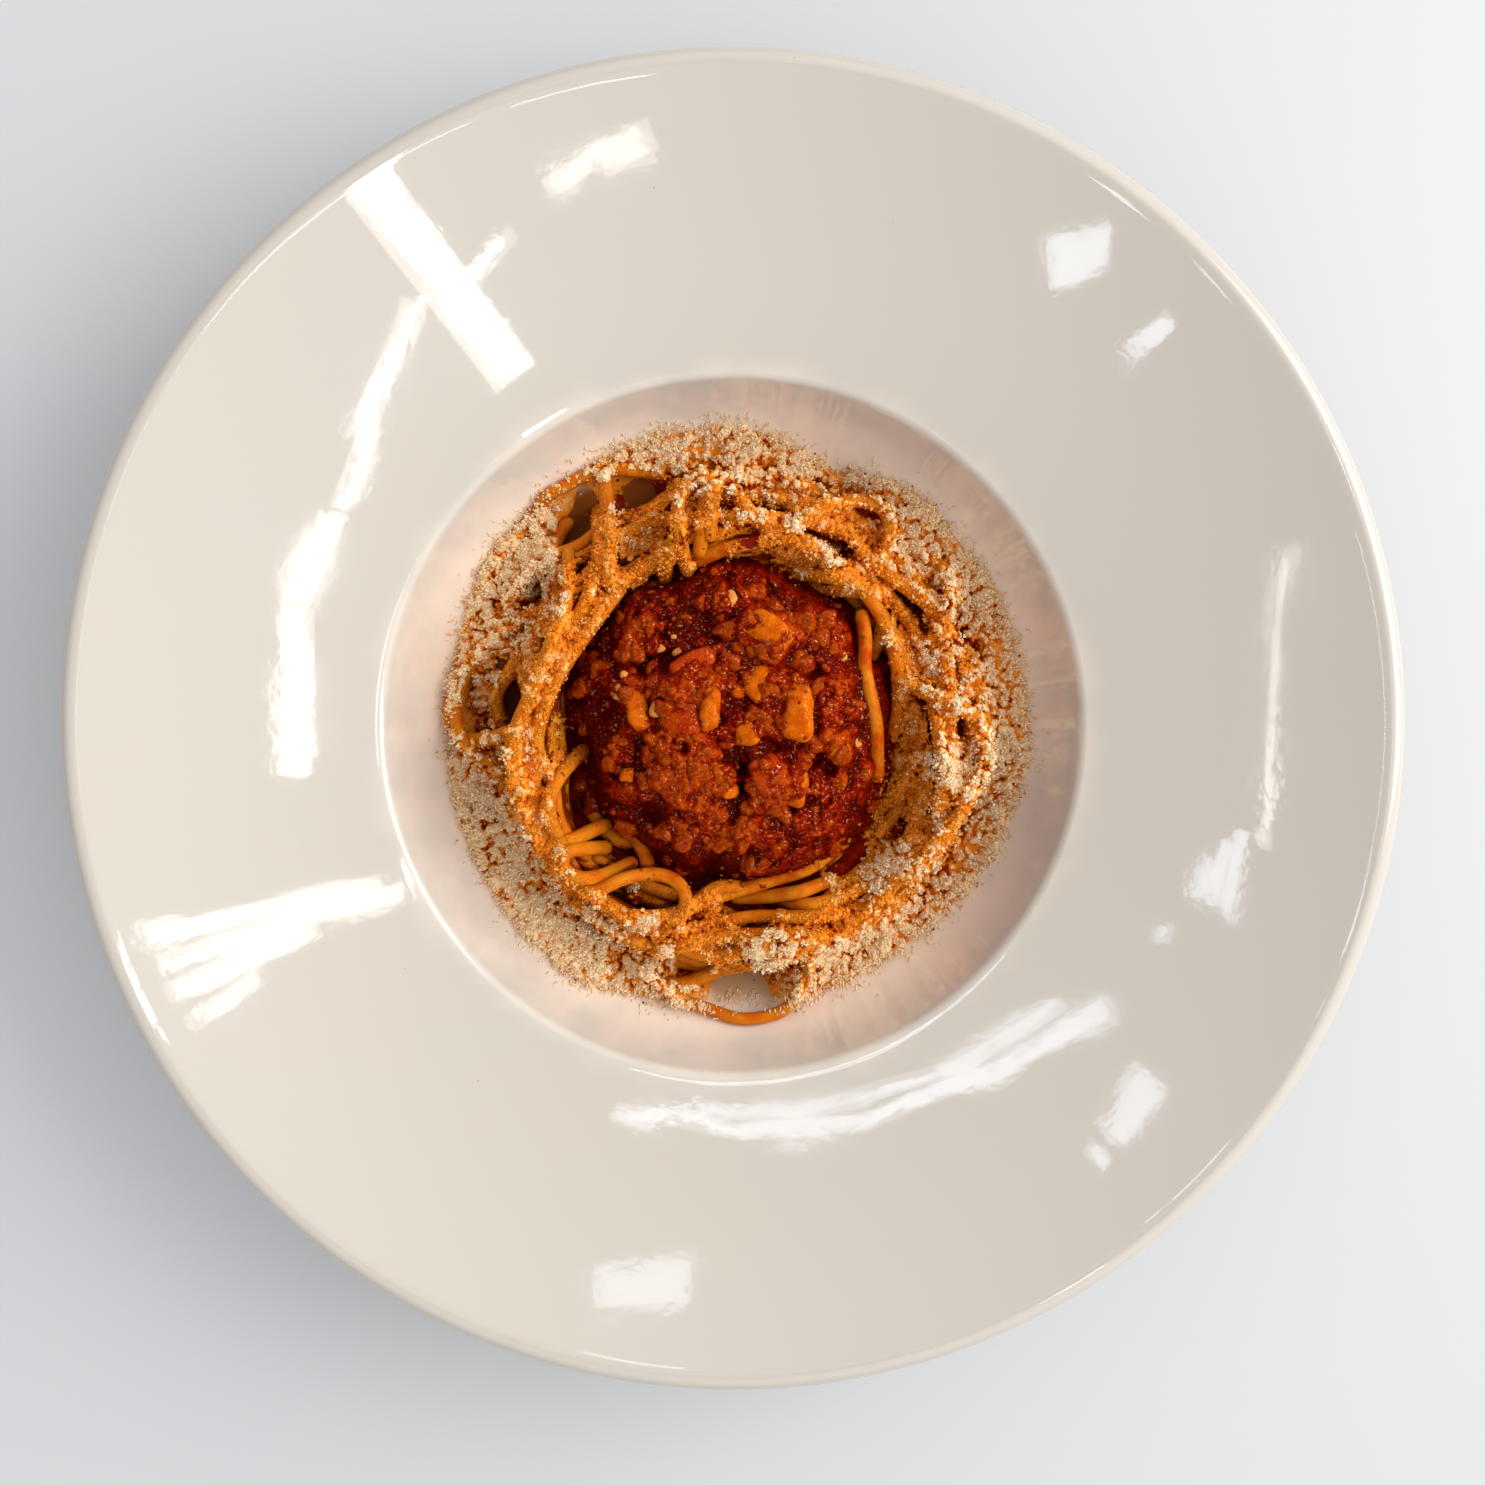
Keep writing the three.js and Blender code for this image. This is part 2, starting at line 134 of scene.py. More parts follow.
# Strands that can be told apart in the photograph, lowest first: (direction, reach) along each.
SHOWN_STRANDS = (
    ((246, 61), (258, 59), (268, 54), (282, 51), (295, 51)),
    ((244, 55), (258, 61), (266, 63.2), (272, 64.6), (279, 64), (283, 61), (287, 56), (289, 51)),
    ((136, 60), (134, 62), (130, 64), (125, 63.5), (118, 62.5), (111, 59.5), (105, 57)),
    ((159, 49), (163, 55.5), (168, 60), (174.5, 62), (180, 61.5), (183, 57.5), (182.5, 51.5),
     (181, 46), (184, 41)),
    ((150, 50), (160, 55), (168, 59), (176, 60.5), (184, 58), (190, 52)),
    ((42, 55.5), (37, 57), (32, 55), (26, 50), (23, 46)),
    ((74, 46), (68, 50), (62, 55), (56, 57), (51, 54), (48, 48)),
    ((14, 41), (8, 46), (2, 51), (353, 54), (345, 51), (340, 44)),
    ((252, 48.5), (265, 50), (280, 48), (294, 51)),
    ((22, 49), (10, 46.5), (0, 45.5), (350, 45.5), (338, 47)),
    ((12, 43), (2, 43), (352, 44.5), (342, 48)),
    ((261, 44), (275, 41.5), (288, 43), (303, 48)),
    ((250, 52), (261, 46.5), (275, 45), (285, 46), (296, 51)),
    ((302, 40), (292, 38.5), (280, 38), (270, 38)),
    ((240, 46), (252, 42), (264, 37.5), (282, 34.8), (299, 35), (317, 35), (331, 33)),
    ((273, 35), (264, 35), (258, 38.5), (253, 43), (250, 47)),
    ((72, 31), (69, 33), (60, 35), (50, 38), (42, 43)),
    ((36, 40), (30, 36), (24, 32), (14, 31.3), (0, 31.4), (350, 31.6)),
    ((72, 34), (66, 36), (51, 39.6), (44, 40), (32, 39), (18, 37), (1, 35), (349, 33.6)),
    ((18, 36), (14, 39), (11, 41), (6, 47), (2, 53)),
    ((122, 56), (127, 47), (136, 41.5), (145, 40), (162, 41), (171, 42), (191, 46), (203, 43)),
    ((133, 52), (141, 44.5), (155, 41.5), (170, 42.5), (184, 46), (198, 46.5), (212, 48)),
    ((128, 38), (140, 36.5), (155, 37), (170, 39), (184, 41), (196, 40)),
    ((103, 36), (91, 38), (80, 40), (72, 45), (68, 52)),
    ((116, 34), (110, 39), (104, 44), (100, 48)),
    ((101, 37), (98, 44.5), (96, 50), (95, 53), (91, 52), (88, 48), (84, 44.5), (80, 43)),
    ((106, 34), (106, 37), (105, 42), (103, 49.4), (97.5, 53.6), (94, 51), (95.5, 46), (97, 40)),
    ((117, 62), (118, 59), (122, 49), (127, 43), (131, 39)),
    ((188, 31), (191, 34.5), (199, 40), (208, 43), (215, 43)),
    ((204, 32), (206, 34), (213, 36.3), (224, 35.6), (231, 33), (236, 33)),
    ((217, 29.5), (219, 31), (230, 32.4), (237, 34.5), (241, 38)),
    ((212, 46), (214, 42.5), (216, 38), (218, 34.5)),
    ((224, 38), (219, 40.5), (216.5, 43.5), (219.5, 46), (224, 45), (229, 41.5), (234, 36.5)),
    ((227, 47), (230, 44.8), (234, 39.5), (241, 35.6), (248, 34.6), (253, 36), (255, 39), (254, 44)),
)

# Strands that lie over the edge of the sauce.
STRANDS_OVER_SAUCE = (
    ((42, 37), (34, 34), (25, 30.8), (15, 29.9), (2, 30.3), (350, 31.2), (340, 33)),
)

# Cheese that lies thicker or thinner than round about: (x, y, half width, by how much).
CHEESE_PATCHES = (
    (45, -7.3, 5, 1.5), (35.9, -27.1, 4, 1), (31, -33, 4.5, 0.9), (6.7, -49.7, 4, 1),
    (-15.8, -48, 3, 0.7), (-42, 33.6, 5.5, 0.8), (-49.2, 8.6, 3.6, 0.9), (-41.7, 7.7, 2.4, 0.7),
    (-24.7, 46.5, 1.6, 1.1), (-6.4, 50.2, 2, 1.3), (12.5, 43, 2.2, 1.3), (21.7, 36.4, 3, 1.2),
    (38.3, 36.4, 4, 0.5), (42.3, 14.4, 4, 0.6), (40.2, 7.9, 3, 0.5), (-56.7, -15.8, 6, 0.6),
    (-48.2, -27.1, 6, 0.8), (-40.7, -39.7, 7, 0.8), (-34.2, -48.4, 5.5, 0.7), (22.1, -50.6, 5, 0.7),
    (31.9, -46.2, 5, 0.5), (58.6, -3.9, 4, 0.5), (1.5, 57, 4, 0.5), (-37, 38.3, 5, 0.5),
    (-21.5, -34, 3, 0.6), (13, -44, 3, 0.5), (-8, 43, 3, -0.4),
    (-26, -27, 8, -1), (-30, -15, 6, -1), (33, 10, 6, -0.9), (29, 24, 6, -0.9),
    (16, -33, 9, -0.9), (2, -38, 5, -0.6), (1.5, -60, 6, -2.6), (-9, -52, 4, -1.8),
    (-34, 40.5, 5, -2.4), (-20.5, 51, 4, -1.8), (-48, 5.5, 4.2, -2.6), (-60, 1, 6, -0.7),
    (-32, 50, 6, -0.9), (27, 50, 6, -0.4),
)

# Places where the noodles are bare of crumbs: (x, y, half width).
BARE_PLACES = (
    (-24, -22, 12.5), (-33, -12, 5), (-15, -32, 6.5), (29.5, 12, 6.5), (26.5, 22.5, 6),
    (27, 1, 5), (4, -37, 6), (14, -34, 6.5), (24, -27, 5), (-5, 38, 4),
    (0, -62, 8), (-48, 5.5, 3.6), (-34, 40.5, 4.2), (-20.5, 51, 3.4), (-9, -52, 3.4),
)

# Pieces in the sauce: x, y, length, width, height, turn, how far the middle stands proud.
RAGU_PIECES = {
    "pepper": (
        (-10.4, 4.2, 11.5, 8.6, 4.6, 86, 0.2), (-8, 14, 10.5, 4.6, 3.4, 25, 0.3),
        (7.5, -9.5, 9, 7, 4, 110, 0.15),
    ),
    "carrot": (
        (13.4, 3.6, 12, 6.8, 6, 84, 0.45), (-19.6, 4.2, 10.8, 4.8, 5, 104, 0.4),
        (-4.6, 4.4, 10, 4.2, 5.5, 84, 0.35), (7.4, 20, 10.5, 7.6, 5.5, -30, 0.2),
        (6.6, 9.6, 8.6, 7.4, 5, 40, 0.15), (2.8, -0.6, 5.8, 5.4, 4.6, 0, 0.3),
        (1.2, 8.5, 4.4, 3.8, 3.6, 40, 0.2), (13.4, -12.4, 8, 4.6, 4.4, 70, 0.05),
        (22, -4, 6.4, 4.8, 4.4, 120, 0.1), (-22, -9.6, 3.6, 3, 3.2, 80, 0.4),
        (-0.4, -12.6, 3.6, 3.2, 3.2, 10, 0.3), (-2.4, -8, 2.6, 2.4, 2.4, 10, 0.3),
    ),
    "onion": (
        (-15.9, 4.4, 3.6, 2.6, 2.6, 80, 0.5), (-1.5, 27, 5.4, 4.6, 2.8, 30, 0),
        (-15, 17, 2.2, 1.9, 1.8, 0, 0.5), (-11.4, 16.2, 2.6, 1.6, 1.5, 30, 0.4),
        (-12.2, 19.4, 1.5, 1.3, 1.3, 0, 0.4), (-22.4, 11.4, 2, 1.8, 1.6, 0, 0.3),
        (-24, 8, 4, 2.6, 2.4, 80, 0.1), (17.6, 8, 2.4, 1.8, 1.6, 20, 0.1),
        (23, 15, 2.6, 2, 1.8, 60, 0.1), (26, -3, 3.2, 1.8, 1.8, 130, 0.2),
    ),
}
SQUARENESS = {"carrot": 0.72, "onion": 0.9, "pepper": 0.65}     # 1 is round, and less is squarer

# Larger swellings of the sauce itself, mostly clumps of mince: x, y, length, width, height, turn.
RAGU_SWELLS = (
    (-9, -8.5, 24, 15, 4.2, -35), (-9.5, 8.5, 20, 13, 3.2, 10), (7.5, 20.5, 16, 11, 3, -30),
    (10.5, 4.5, 18, 13, 2.4, 80), (9, -11, 16, 13, 3, 60), (21, -6, 12, 10, 3, 100),
    (18.5, 19.5, 16, 10, 2.4, -45), (-2, 27, 14, 9, 2.2, 10), (-19.5, 20, 14, 9, 2.2, 50),
    (4, -22.5, 18, 9, 2.8, 10), (-9, -21, 12, 8, 2.2, 0), (22, 8, 12, 9, 1.8, 90),
    (17, -19, 13, 9, 2.4, 40), (-23, -4, 12, 8, 1.8, 80), (-21.5, 8, 10, 8, 1.6, 60),
)

# Pits between them: x, y, half width, depth.
RAGU_PITS = (
    (-10, -3.5, 1.3, 3.4), (1.8, -8.4, 1.4, 4), (1.6, -12, 1.2, 3.4), (17.6, -6, 1.8, 4),
    (20.4, -8.2, 1.5, 3.6), (3.7, -26.6, 2, 3.6), (-27, 4.4, 2.4, 3.6), (-13.6, 14.6, 2.2, 2.8),
    (-18.6, 13.4, 2.2, 2.6), (-5, 21, 2.6, 2), (-24, -9, 1.8, 3), (-17.5, -18.5, 2.6, 3.4),
    (-15, 6, 1, 2.4), (15.6, 12.6, 1.8, 1.8), (12, -16, 1.6, 2.2), (-2.5, 2, 1.6, 1.6),
)


# ---------------------------------------------------------------- numbers

def rows_of(*columns):
    """One row for each place, from its numbers; a single number goes in every row."""
    return np.stack(np.broadcast_arrays(*columns), axis=-1).reshape(-1, len(columns))


def smooth_step(low, high, value):
    """0 up to low, 1 from high, and a smooth rise between them."""
    part = np.clip((value - low) / (high - low), 0, 1)
    return part * part * (3 - 2 * part)


def nearness(x, y, near_x, near_y, width, power=1):
    """1 at one place, and falling to 0 round it over about this width."""
    away = ((x - near_x) ** 2 + (y - near_y) ** 2) / width ** 2
    return np.exp(-away ** power)


def wavering(direction, waves):
    """Sum of waves round the circle, each (height, number, phase in degrees)."""
    return sum(height * np.sin(np.radians(number * direction + phase)) for height, number, phase in waves)


def lattice(cell, seed):
    """A repeatable number from -1 to 1 for each whole-numbered point."""
    mixed = cell[..., 0] * 374761393 + cell[..., 1] * 668265263 + cell[..., 2] * 362437 + seed * 1013904223
    mixed = mixed & 0xFFFFFFFF
    mixed = ((mixed ^ (mixed >> 13)) * 1274126177) & 0xFFFFFFFF
    mixed = ((mixed ^ (mixed >> 15)) * 2246822519) & 0xFFFFFFFF
    return ((mixed ^ (mixed >> 16)) & 0xFFFF) / 32767.5 - 1


def noise_at(points, size, seed):
    """Smooth noise from -1 to 1, with features of about the given size."""
    scaled = points / size
    base = np.floor(scaled).astype(np.int64)
    part = scaled - base
    part = part * part * (3 - 2 * part)
    total = np.zeros(len(scaled))
    for corner in range(8):
        step = np.array([corner & 1, (corner >> 1) & 1, (corner >> 2) & 1])
        weight = np.prod(np.where(step, part, 1 - part), axis=1)
        total += weight * lattice(base + step, seed)
    return total


def flat_noise(x, y, size, seed):
    """The same noise over a plane."""
    return noise_at(rows_of(x, y, 0.37), size, seed).reshape(np.shape(x))


def noise_pair(x, y, size, seeds):
    """Two such noises, for shifting places sideways."""
    return np.array([flat_noise(x, y, size, seed) for seed in seeds])


def ridged(x, y, size, seed):
    """Noise with sharp crests, from -1 to 1."""
    return 1 - 2 * np.abs(flat_noise(x, y, size, seed))


def pebbled(x, y, size, seed):
    """Height from 0 to 1 of rounded grains packed over a plane."""
    place = rows_of(x, y) / size
    base = np.floor(place).astype(np.int64)
    best = np.zeros(len(place))
    for step in np.ndindex(3, 3):
        cell = base + step - 1
        key = rows_of(*cell.T, 0)
        grain = cell + 0.5 + 0.42 * rows_of(lattice(key, seed), lattice(key, seed + 1))
        width = 0.62 + 0.22 * lattice(key, seed + 2)
        away = ((place - grain) ** 2).sum(axis=1) / width ** 2
        tall = 0.75 + 0.25 * lattice(key, seed + 3)
        best = np.maximum(best, tall * np.sqrt(np.clip(1 - away, 0, 1)))
    return best.reshape(np.shape(x))


def blurred(values, width):
    """Values smoothed over a number of places, with their ends held."""
    span = math.ceil(3 * width)
    weights = np.exp(-np.arange(-span, span + 1) ** 2 / (2 * width ** 2))
    return np.convolve(np.pad(values, span, mode="edge"), weights / weights.sum(), mode="valid")


def spread_out(grid, width):
    """A grid's values smoothed both ways over a number of cells."""
    for _ in range(2):
        grid = np.array([blurred(row, width) for row in grid]).T
    return grid


def polar(x, y):
    """Reach and direction of places."""
    return np.hypot(x, y), np.degrees(np.arctan2(y, x))


def plane(reach, direction):
    """Places at a reach and direction."""
    angle = np.radians(direction)
    return reach * np.cos(angle), reach * np.sin(angle)


# ---------------------------------------------------------------- forms shared with the CAD

def well_height(reach):
    """Height of the bowl's inner surface, up to the edge of the well."""
    out = np.maximum(0, reach - FLOOR_RADIUS)
    on_curve = np.minimum(out, WELL_CURVE * math.sin(WALL_ANGLE))
    curved = WELL_CURVE - np.sqrt(WELL_CURVE ** 2 - on_curve ** 2)
    return FLOOR_HEIGHT + curved + (out - on_curve) * math.tan(WALL_ANGLE)


def nest_radius(direction):
    return NEST_RADIUS + wavering(direction, NEST_WAVES)


def core_height(reach, direction):
    """Top of the bundled noodles' core: a ring with a hollow middle."""
    crest = CREST_HEIGHT + wavering(direction, CREST_WAVES)
    inner = np.clip(reach / CREST_RADIUS, 0, 1)
    hollow = HOLLOW_HEIGHT + (crest - HOLLOW_HEIGHT) * inner ** 2 * (3 - 2 * inner)
    outline = nest_radius(direction)
    edge = well_height(outline)
    outer = np.clip((reach - CREST_RADIUS) / (outline - CREST_RADIUS), 0, 1)
    slope = edge + (crest - edge) * np.sqrt(1 - outer ** 2)
    return np.where(reach < CREST_RADIUS, hollow, slope) - CORE_DROP


def ragu_radius(direction):
    return RAGU_RADIUS + wavering(direction, RAGU_WAVES)


def ragu_out(x, y):
    """How far out in the mound of sauce a place is: 1 at its edge."""
    reach, direction = polar(x, y - RAGU_SHIFT)
    return reach / ragu_radius(direction)


def fringe_radius(direction):
    """Outer edge of the cheese, which the grains then make ragged."""
    return np.interp(direction, *np.array(FRINGE).T, period=360)


def in_hole(x, y):
    """How far a place is in one of the holes where sauce shows, from 0 to 1."""
    inside = 0
    for *place, width in SAUCY_HOLES:
        inside = np.maximum(inside, nearness(x, y, *place, width + 0.8, 2))
    return inside


def cheese_cover(x, y):
    """How thickly cheese lies at a place, from 0 to about 1.5."""
    reach, direction = polar(x, y)
    edge = fringe_radius(direction)
    cover = 0.55 * smooth_step(36, 45, reach) + 0.4 * smooth_step(48, 55, reach)
    for *place, amount in CHEESE_PATCHES:
        cover = cover + amount * nearness(x, y, *place)
    cover = cover * smooth_step(33, 38, reach) * (1 - smooth_step(edge - 2.5, edge + 0.8, reach))
    return np.clip(cover, 0, 1.5)


def coat_cover(x, y):
    """How much the noodles are coated with stained crumbs, from 0 to 1: all but some bare places."""
    reach = np.hypot(x, y)
    coat = smooth_step(32, 37, reach) * (1 - smooth_step(53, 59, reach))
    for place in BARE_PLACES:
        coat = coat * (1 - nearness(x, y, *place, 3))
    return coat


# ---------------------------------------------------------------- the heap so far

class Heap:
    """Height of the top of all that lies in the bowl so far, on a square grid."""

    def __init__(self, half, pitch):
        self.half = half
        self.pitch = pitch
        self.count = int(round(2 * half / pitch)) + 1
        axis = np.linspace(-half, half, self.count)
        self.x, self.y = np.meshgrid(axis, axis, indexing="ij")
        self.reach, self.direction = polar(self.x, self.y)
        self.top = well_height(self.reach)

    def cells(self, x, y, across=0, along=0):
        """Rows and columns of the cells at places, or so many cells beside them."""
        row, column = (np.rint((side + self.half) / self.pitch).astype(int) for side in (x, y))
        return np.clip(row + across, 0, self.count - 1), np.clip(column + along, 0, self.count - 1)

    def under(self, x, y, radius):
        """Cells under balls, and how far the top of a ball stands over its middle at each."""
        reach = int(radius / self.pitch)
        steps = np.arange(-reach, reach + 1)
        across, along = np.meshgrid(steps, steps, indexing="ij")
        away = (across ** 2 + along ** 2) * self.pitch ** 2
        inside = away < radius ** 2
        cells = self.cells(x[:, None], y[:, None], across[inside], along[inside])
        return cells, np.sqrt(radius ** 2 - away[inside])

    def at(self, x, y):
        return self.top[self.cells(x, y)]

    def support(self, x, y, radius):
        """Lowest heights at which the middles of balls clear the heap."""
        cells, bulge = self.under(x, y, radius)
        return (self.top[cells] + bulge).max(axis=1)

    def add_balls(self, x, y, z, radius):
        cells, bulge = self.under(x, y, radius)
        np.maximum.at(self.top, cells, z[:, None] + bulge)

    def raise_to(self, height, inside):
        self.top = np.where(inside, np.maximum(self.top, height), self.top)


# ---------------------------------------------------------------- meshes

def add_object(name, data):
    piece = bpy.data.objects.new(name, data)
    bpy.context.scene.collection.objects.link(piece)
    return piece


def add_mesh(name, points, faces, material, **values):
    """A mesh piece from points in millimetres, with a number for each point under each name in values."""
    mesh = bpy.data.meshes.new(name)
    mesh.from_pydata((np.asarray(points) * MM).tolist(), [], [list(face) for face in faces])
    mesh.polygons.foreach_set("use_smooth", np.ones(len(mesh.polygons), bool))
    for label, numbers in values.items():
        layer = mesh.attributes.new(label, "FLOAT", "POINT")
        layer.data.foreach_set("value", np.asarray(numbers, np.float32))
    mesh.materials.append(material)
    mesh.update()
    return add_object(name, mesh)


class Parts:
    """Several closed shapes gathered into one mesh."""

    def __init__(self):
        self.points = []
        self.faces = []
        self.values = {}
        self.count = 0

    def add(self, points, faces, **values):
        self.points.append(points)
        self.faces += (faces + self.count).tolist()
        for label, numbers in values.items():
            self.values.setdefault(label, []).append(numbers)
        self.count += len(points)

    def build(self, name, material):
        values = {label: np.concatenate(numbers) for label, numbers in self.values.items()}
        return add_mesh(name, np.vstack(self.points), self.faces, material, **values)


def grid_faces(rows, columns, wrap=False):
    """Four-sided faces of a grid of points, joined across its columns when it wraps round."""
    row = np.arange(rows - 1)[:, None] * columns
    column = np.arange(columns if wrap else columns - 1)
    after = (column + 1) % columns
    return rows_of(row + column, row + columns + column, row + columns + after, row + after)


def disc_grid(count):
    """Reach and direction of a square grid of places pulled into a disc of radius 1, row by row."""
    axis = np.linspace(-1, 1, count)
    across, along = np.meshgrid(axis, axis, indexing="ij")
    x = across * np.sqrt(1 - along ** 2 / 2)
    y = along * np.sqrt(1 - across ** 2 / 2)
    return polar(x.ravel(), y.ravel())


def closed_mound(x, y, z, count, base):
    """Points and faces of a mound over a disc grid, closed by a wall and a flat base."""
    last = count - 1
    side = np.arange(last)
    rim = np.concatenate([side * count, last * count + side, (last - side) * count + last, last - side])
    low = len(x) + np.arange(len(rim))
    rim_after, low_after = np.roll(rim, -1), np.roll(low, -1)
    points = np.vstack([rows_of(x, y, z), rows_of(x[rim], y[rim], base), (x.mean(), y.mean(), base)])
    faces = grid_faces(count, count)[:, ::-1].tolist()
    faces += rows_of(low, low_after, rim_after, rim).tolist()
    faces += rows_of(low, len(x) + len(rim), low_after).tolist()
    return points, faces


def ball_points(level):
    """Points and triangles of a ball made from a divided icosahedron."""
    shape = bmesh.new()
    bmesh.ops.create_icosphere(shape, subdivisions=level, radius=1)
    points = np.array([v.co[:] for v in shape.verts])
    faces = np.array([[v.index for v in f.verts] for f in shape.faces])
    shape.free()
    return points, faces


def turned(points, degrees):
    """Points turned about the vertical."""
    x, y, z = points.T
    cosine, sine = math.cos(math.radians(degrees)), math.sin(math.radians(degrees))
    return rows_of(x * cosine - y * sine, x * sine + y * cosine, z)


def tilted_turns(random, count, most):
    """Turning matrices: any way round, and tilted by up to so much."""
    turn, side = random.uniform(0, 2 * math.pi, (2, count))
    tilt = most * random.uniform(-1, 1, count)[:, None, None]
    upright = rows_of(np.cos(turn), -np.sin(turn), 0, np.sin(turn), np.cos(turn), 0, 0, 0, 1)
    axis = rows_of(0, 0, np.sin(side), 0, 0, -np.cos(side), -np.sin(side), np.cos(side), 0).reshape(-1, 3, 3)
    tilted = np.eye(3) + np.sin(tilt) * axis + (1 - np.cos(tilt)) * (axis @ axis)
    return tilted @ upright.reshape(-1, 3, 3)


# ---------------------------------------------------------------- materials

class Shade:
    """The node tree of a material or of the world, with short calls for the nodes used here."""

    def __init__(self, owner, surface="Principled BSDF", coordinates="Object"):
        owner.use_nodes = True
        self.owner = owner
        self.nodes = owner.node_tree.nodes
        self.links = owner.node_tree.links
        self.surface = self.nodes[surface]
        self.place = self.node("ShaderNodeTexCoord", coordinates)

    def set(self, socket, value):
        """Gives a socket a number or colour, or links another node's output to it."""
        if isinstance(value, bpy.types.NodeSocket):
            self.links.new(value, socket)
        elif socket.type == "RGBA":
            socket.default_value = (*value, 1)
        else:
            socket.default_value = value

    def node(self, kind, output, inputs=None, **settings):
        """Adds a node with these settings and inputs, and returns one of its outputs."""
        node = self.nodes.new(kind)
        for label, value in settings.items():
            setattr(node, label, value)
        for label, value in (inputs or {}).items():
            self.set(node.inputs[label], value)
        return node.outputs[output]

    def noise(self, size, detail=3.0, roughness=0.55):
        """Noise with features of about the given size in millimetres, from 0 to 1."""
        inputs = {"Scale": 1000 / size, "Detail": detail, "Roughness": roughness, "Vector": self.place}
        return self.node("ShaderNodeTexNoise", "Fac", inputs)

    def cells(self, size):
        """Distance to the nearest of many scattered points."""
        return self.node("ShaderNodeTexVoronoi", "Distance", {"Scale": 1000 / size, "Vector": self.place})

    def number(self, label):
        """A number kept on the mesh's points."""
        return self.node("ShaderNodeAttribute", "Fac", attribute_name=label)

    def axis(self, label):
        """One coordinate of the place, in metres."""
        return self.node("ShaderNodeSeparateXYZ", label, {0: self.place})

    def math(self, operation, *values):
        return self.node("ShaderNodeMath", 0, dict(enumerate(values)), operation=operation)

    def sum(self, first, second):
        return self.math("ADD", first, second)

    def product(self, first, second):
        return self.math("MULTIPLY", first, second)

    def between(self, value, low, high, start=0.0, end=1.0):
        """Smoothly from start at low to end at high."""
        inputs = {"Value": value, "From Min": low, "From Max": high, "To Min": start, "To Max": end}
        return self.node("ShaderNodeMapRange", "Result", inputs, interpolation_type="SMOOTHSTEP")

    def patches(self, size, low, high, start=0.0, end=1.0, detail=3.0, roughness=0.55):
        """Patches of about this size: start where their noise is below low, and end above high."""
        return self.between(self.noise(size, detail, roughness), low, high, start, end)

    def blend(self, factor, first, second):
        return self.node("ShaderNodeMix", 2, {"Factor": factor, 6: first, 7: second}, data_type="RGBA")

    def looks(self, **values):
        for label, value in values.items():
            self.set(self.surface.inputs[label.replace("_", " ")], value)

    def bumps(self, *layers):
        """Relief from (height, distance in millimetres) layers, the coarsest first."""
        below = {}
        for height, distance in layers:
            inputs = {"Height": height, "Distance": distance * MM, **below}
            below = {"Normal": self.node("ShaderNodeBump", "Normal", inputs)}
        self.looks(**below)

    def glints(self, size, share, level):
        """Small wet spots that shine in the colour of the oil, over this share of the surface."""
        spots = self.patches(size, 0.68 - share, 0.74 - share, detail=2)
        self.looks(Specular_IOR_Level=self.between(spots, 0, 1, 0.02, level), IOR=1.75,
                   Roughness=self.between(spots, 0, 1, 0.36, 0.14), Specular_Tint=(1, 0.60, 0.26))

    def soft_inside(self, weight, depth, colour):
        """Light that goes a little way in, as in food."""
        self.looks(Subsurface_Weight=weight, Subsurface_Scale=depth * MM, Subsurface_Radius=colour)


def new_shade(name):
    return Shade(bpy.data.materials.new(name))


PASTA = (0.65, 0.20, 0.008)
REDDER_PASTA = (0.57, 0.115, 0.003)
SAUCED = (0.48, 0.050, 0.001)
# Darkest sauce: painted shade in the pits of the sauce and in patches deep among the noodles.
SAUCE_IN_PAINTED_SHADE = (0.075, 0.001, 0)
# Strands deep under others are painted this dark: partly sauce, partly painted shade.
DEEP_STRAND_SAUCE_AND_SHADE = (0.20, 0.020, 0.002)
CRUST = (0.72, 0.22, 0.015)
MINCE = (0.40, 0.058, 0.0015)
MINCE_SHADE = (0.24, 0.016, 0)
CARROT = (0.68, 0.145, 0.002)
CARROT_SHADE = (0.52, 0.075, 0.001)
ONION = (0.78, 0.36, 0.08)
ONION_SHADE = (0.60, 0.20, 0.03)
PEPPER = (0.44, 0.048, 0.002)
PEPPER_SHADE = (0.33, 0.018, 0.001)
CHEESE = (1, 0.79, 0.49)
CHEESE_SHADE = (1, 0.70, 0.385)
OILY_CHEESE = (0.97, 0.45, 0.085)
CHEESE_STAIN = (0.88, 0.255, 0.010)
SAUCE = (0.21, 0.005, 0)
# Paler sauce on what stands up: partly oil, partly painted light.
OILY_SAUCE_AND_PAINTED_LIGHT = (0.42, 0.044, 0.001)
GLAZE = (0.585, 0.525, 0.44)
GLAZE_SHADE = (0.575, 0.52, 0.445)
# Painted light: the glaze in the well is painted lighter and peachier, standing in for light and warm bounce
# from the food.
WELL_GLAZE_PAINTED_LIGHT = (0.91, 0.75, 0.60)
SPECK = (0.30, 0.22, 0.15)
OIL_FILM = (0.60, 0.36, 0.17)
SOAKED_GLAZE = (0.26, 0.070, 0.010)
TABLE = (0.615, 0.615, 0.615)
TABLE_SHADE = (0.625, 0.625, 0.62)


